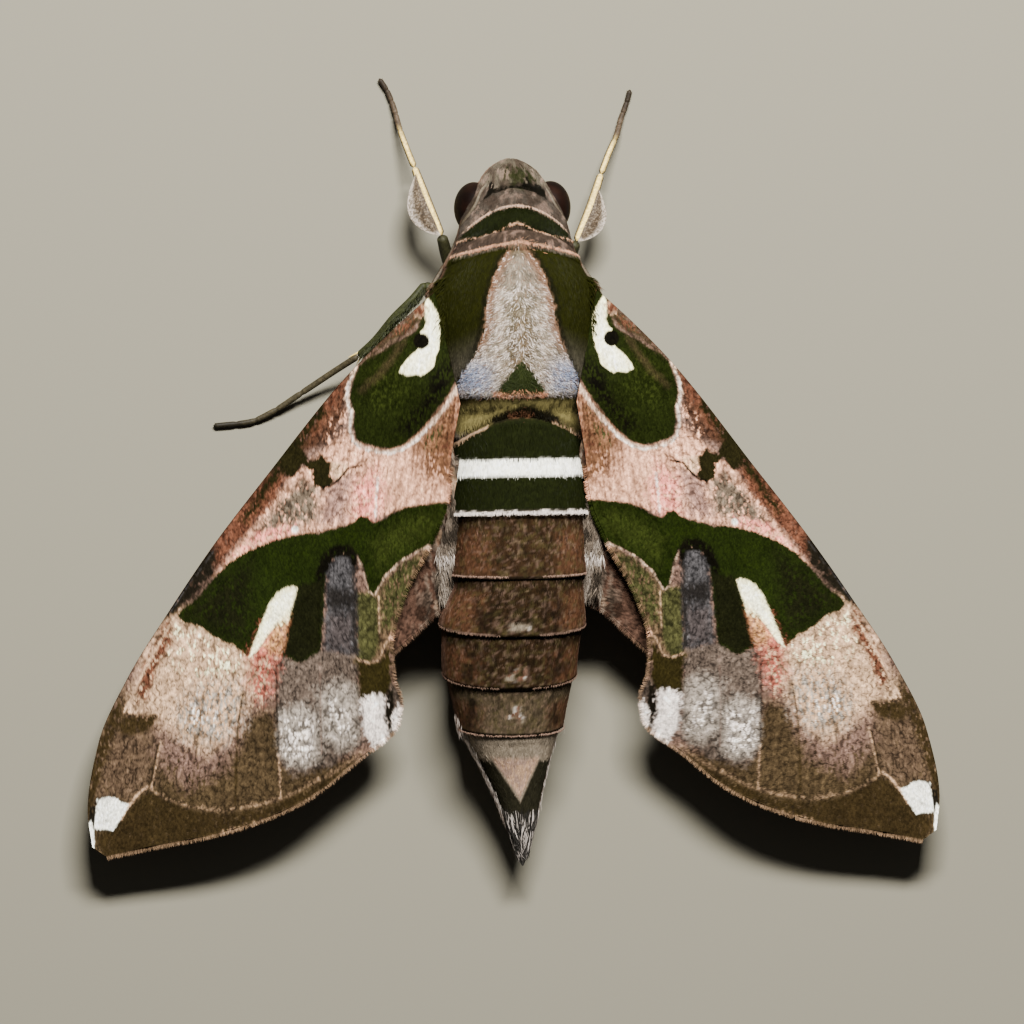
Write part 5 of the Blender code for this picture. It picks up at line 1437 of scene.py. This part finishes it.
s, a = scatter(14000, (-13.5, 5.0), (0, 1.65), off_edges)
coat("coat_abdomen_front", s, a, 1, 0, (0.30, 0.55), (0.07, 0.13), (0.06, 0.22), (0.1, 0.3), tip=1.2)
s, a = scatter(9500, (-26.2, -13.5), (0, 1.75), off_edges)
coat("coat_abdomen_rear", s, a, 1, 0, (0.30, 0.55), (0.06, 0.12), (0.06, 0.22), (0.1, 0.3), tip=1.2)
s, a = scatter(6500, (-26.0, 5.0), (1.65, math.pi))
coat("coat_belly", s, a, 1, 0, (0.45, 0.75), (0.09, 0.15), (0.08, 0.25), (0.15, 0.35), tip=1.2)

for ring, count, spread, start, bury, hue, pale in (
        (2, 1300, 0.07, 0, -0.08, "snow", 0.85), (3, 460, 0.025, 0.22, 0, "tail pink", 0.6),
        (4, 300, 0.025, 0.22, 0, "tail pink", 0.35), (5, 300, 0.025, 0.22, 0, "tail pink", 0.35),
        (6, 450, 0.025, 0, -0.08, "tail pink", 0.75)):
    s = PARTINGS[ring - 1] + 0.10 + RANDOM.normal(0, spread, count)
    a = RANDOM.uniform(start, 1.75, count) * either_side(count)
    coat("coat_ring_edge_" + str(ring), s, a, 1, 0, (0.10, 0.18), (0.05, 0.09), (0.05, 0.2), (0.1, 0.3),
         dyed(hue, pale), 1.1, jitter=0.3, bury=bury)

# %% Waist, sides and tail
s = RANDOM.normal(4.25, 0.18, 700)
a = RANDOM.uniform(0, 1.5, 700) ** 1.3 * either_side(700)
coat("coat_waist", s, a, 0.9, 0, (0.3, 0.6), (0.03, 0.06), (0.3, 0.6), (0.4, 0.7),
     lambda colour, s, a: mix(colour, "rust", 0.8 * (np.abs(a) < 0.2)), jitter=0.35)

s = -18.9 - 7.3 * RANDOM.random(3000) ** 0.8
a = RANDOM.normal(1.52, 0.10, 3000) * RANDOM.choice((-1, 1), 3000, p=(0.96, 0.04))
coat("coat_side_fringe", s, a, 1, 0.1, (0.5, 0.95), (0.045, 0.085), (0.25, 0.5), (0.1, 0.3),
     dyed("snow", 0, "snow", 0.7, 0.6), 1.3, 0.75)

s = RANDOM.uniform(-28.6, -25.4, 2600)
a = RANDOM.uniform(0, math.pi, 2600) * either_side(2600)
reach = np.minimum(RANDOM.uniform(0.9, 2.0, 2600), (s + 29.6) / 0.97)
coat("coat_tail_tuft", s, a, 1, 0, reach, (0.06, 0.12), (0.10, 0.30), (0.15, 0.35),
     dyed("tuft grey", 0.8, "snow", 0.25, 0.5), 1.2, 0.6, 0.10)

# %% [markdown]
# ## Fringes of the wings
# A row of long thin scales stands out from the hind margin of every wing. They go pale at their ends, so the wing's
# outline looks soft. On the hindwing's inner part, beside the abdomen, loose grey and white hairs fill the gap.


# %% Tufts on the wings
def plan_patch(places):
    """Places on the map for a plan that runs from x = -34 to 34 and from y = -30 to 16."""
    return np.stack([(places[:, 0] + 34) / 68, (places[:, 1] + 30) / 46], axis=-1)


def wing_coat(name, places, lies, length, width, lift, curl, colour, tip_colour):
    """Tufts on a nearly level sheet: their normal is straight up, and their patch of the map is the wing's plan."""
    count = len(places)
    shade = RANDOM.uniform(0.75, 1.25, (count, 1))
    shape = (RANDOM.uniform(*limits, count) for limits in (length, width, lift, curl))
    points = tuft_points(places, np.tile((0.0, 0.0, 1.0), (count, 1)), lies, *shape)
    add_coat(name, points, colour * shade, tip_colour * shade, plan_patch(places), "wing_scale", WING_FINISH)


def fringe_of(kind, word, side, count, span, last=0.984):
    """Roots along the rear edge, lying away from the front edge: the pigment there, paling towards the tips."""
    costa, rear, below, paint = WINGS[kind]
    s, t = RANDOM.uniform(*span, count), np.full(count, last)
    x, y, high, across = wing_upper(costa, rear, s, t, below, 0.0)
    run = unit(wing_plan(costa, rear, s + 0.002, t) - wing_plan(costa, rear, s - 0.002, t))
    lies = np.stack([side * -run[:, 1], run[:, 0], 0 * x], axis=-1)
    from_costa = (wing_plan(costa, rear, s, t) - along(costa, s)) * (side, 1)
    lies *= np.sign(np.sum(lies[:, :2] * from_costa, axis=1))[:, None]
    lies += RANDOM.normal(0, 0.22, (count, 3)) - (0.0, 0.2, 0.0)
    places = np.stack([side * x + wing_sway(s, t), y, high - 0.10], axis=-1)
    root = paint(across, y)
    pale = ramp(-10, -18, y) * (0.35 + 0.65 * (RANDOM.random(count) < 0.6))
    wing_coat("_".join(("coat", kind, "fringe", word)), places, lies, (0.22, 0.46), (0.06, 0.12), (0.0, 0.15),
              (0.0, 0.25), root, mix(root, "distal white", 0.75 * pale))


for word, side in SIDES:
    fringe_of("forewing", word, side, 2600, (0.10, 0.998))
    fringe_of("hindwing", word, side, 900, (0.10, 0.80))
    count = 1300
    y = RANDOM.uniform(-9.4, -2.0, count)
    x = 4.5 + 0.3 * side + RANDOM.uniform(0, 1, count) ** 1.3 * np.interp(y, (-9.6, -6.0, -2.0), (1.6, 1.8, 0.6))
    places = np.stack([side * x, y, wing_height(x, y) - 0.75], axis=-1)
    grain = noise(x, y, 0.5, 75, 1.1)
    hue = mix(flat("hindwing grey", count), "lavender", 0.6 * (grain > 0.66), "near black", 0.75 * (grain < 0.36),
              "snow", 0.6 * between(y + 0.25 * (x - 5), -6.2, -5.8, 0.15))
    lies = np.stack([side * RANDOM.normal(-0.15, 0.25, count), np.full(count, -1.0), 0 * y], axis=-1)
    wing_coat("coat_wing_root_" + word, places, lies, (0.7, 1.3), (0.06, 0.12), (0.15, 0.4), (0.2, 0.45),
              0.6 * hue, 1.15 * hue)

# %% [markdown]
# ## Scales of the middle legs
# The tibiae of the middle legs carry long scales on the side towards the body, lying back along the leg, which make
# the leg look twice as thick as it is and close the gap between it and the wing's front edge.

# %% Scales of the middle legs
for word, side in SIDES:
    hip, shin, _ = LEGS["mid"][side]
    path = along(hip[-1:] + shin, np.linspace(0, 1, 200)) * (side, 1, 1)
    forward, across, up = frames_along(path)
    count = 1000
    share = RANDOM.uniform(0.05, 0.93, count)
    row = (share * 199).astype(np.int64)
    inner = across[row] * np.sign(across[row] @ (-side, -1.0, 0.0))[:, None]
    rise = RANDOM.uniform(-0.5, 1.6, count)[:, None]
    normals = inner * np.cos(rise) + up[row] * np.sin(rise)
    roots = path[row] + normals * (leg_radius("tibia", share) - 0.03)[:, None]
    lies = forward[row] + 0.25 * inner + RANDOM.normal(0, 0.15, (count, 3))
    shape = (RANDOM.uniform(*limits, count) for limits in ((0.4, 0.8), (0.06, 0.11), (0.35, 0.9), (0.1, 0.3)))
    points = tuft_points(roots, normals, lies, *shape)
    hue = mix(flat("leg olive", count), "inner green", 0.6) * RANDOM.uniform(0.6, 1.2, (count, 1))
    add_coat("coat_mid_tibia_" + word, points, 0.7 * hue, 1.2 * hue, plan_patch(roots), "leg_scale", LEG_FINISH)

# %% [markdown]
# ## The floor, the light and the camera
# The moth rests on a pale matt wall laid flat, under a wide soft light from beyond its head, about fifty degrees up.
# That gives its wings a soft broad shadow towards the tail and shows the relief of veins and hair. The camera looks
# almost straight down, a few degrees from the moth's left, from far enough away to flatten nothing and stretch
# nothing.

# %% Floor
FLOOR = 0.6
floor_mesh = bpy.data.meshes.new("floor")
floor_mesh.from_pydata([(-FLOOR, -FLOOR, 0), (FLOOR, -FLOOR, 0), (FLOOR, FLOOR, 0), (-FLOOR, FLOOR, 0)], [],
                       [(0, 1, 2, 3)])
floor_mesh.materials.append(new_material("pale wall", {
    "Base Color": (0.177, 0.165, 0.125, 1), "Roughness": 0.9, "Specular IOR Level": 0.1})[0])
floor = bpy.data.objects.new("floor", floor_mesh)
bpy.context.scene.collection.objects.link(floor)

# %% Light: a dim warm room, and a window of 160 by 50 mm with its -Z axis turned towards the origin
world = bpy.data.worlds.new("soft room")
world.use_nodes = True
world.node_tree.nodes["Background"].inputs["Color"].default_value = (1.0, 0.98, 0.96, 1)
world.node_tree.nodes["Background"].inputs["Strength"].default_value = 0.07
bpy.context.scene.world = world

WINDOW_WAY, WINDOW_DISTANCE = unit(np.array((0.06, 0.62, 0.78))), 0.32
window_data = bpy.data.lights.new("window", "AREA")
window_data.shape = "RECTANGLE"
window_data.size, window_data.size_y = 0.16, 0.05
window_data.energy = 4.9
window_data.color = (1.0, 0.985, 0.96)
window = bpy.data.objects.new("window", window_data)
window.location = WINDOW_WAY * WINDOW_DISTANCE
window.rotation_mode = "QUATERNION"
window.rotation_quaternion = Vector((0, 0, 1)).rotation_difference(Vector(WINDOW_WAY))
window.visible_camera = False
bpy.context.scene.collection.objects.link(window)

# %% Camera
TILT, TURN = math.radians(6.5), math.radians(1.0)
AIM = np.array((-0.1437, -3.067, 6.0)) * MM
CAMERA_DISTANCE = 0.9
SENSOR, VIEW_WIDTH = 36, 76.8  # both in millimetres: the view's width is measured where the camera aims
to_camera = np.array((-math.sin(TILT), 0.0, math.cos(TILT)))
level = np.array((math.cos(TILT), 0.0, math.sin(TILT)))
right = math.cos(TURN) * level - math.sin(TURN) * np.array((0, 1, 0))
upward = math.sin(TURN) * level + math.cos(TURN) * np.array((0, 1, 0))
camera_data = bpy.data.cameras.new("camera")
camera_data.sensor_width = SENSOR
camera_data.lens = SENSOR * CAMERA_DISTANCE / MM / VIEW_WIDTH
camera_data.clip_start, camera_data.clip_end = 0.05, 5.0
camera = bpy.data.objects.new("camera", camera_data)
turned = np.eye(4)
turned[:3] = np.stack([right, upward, to_camera, AIM + CAMERA_DISTANCE * to_camera], axis=-1)
camera.matrix_world = Matrix(turned.tolist())
bpy.context.scene.collection.objects.link(camera)
bpy.context.scene.camera = camera
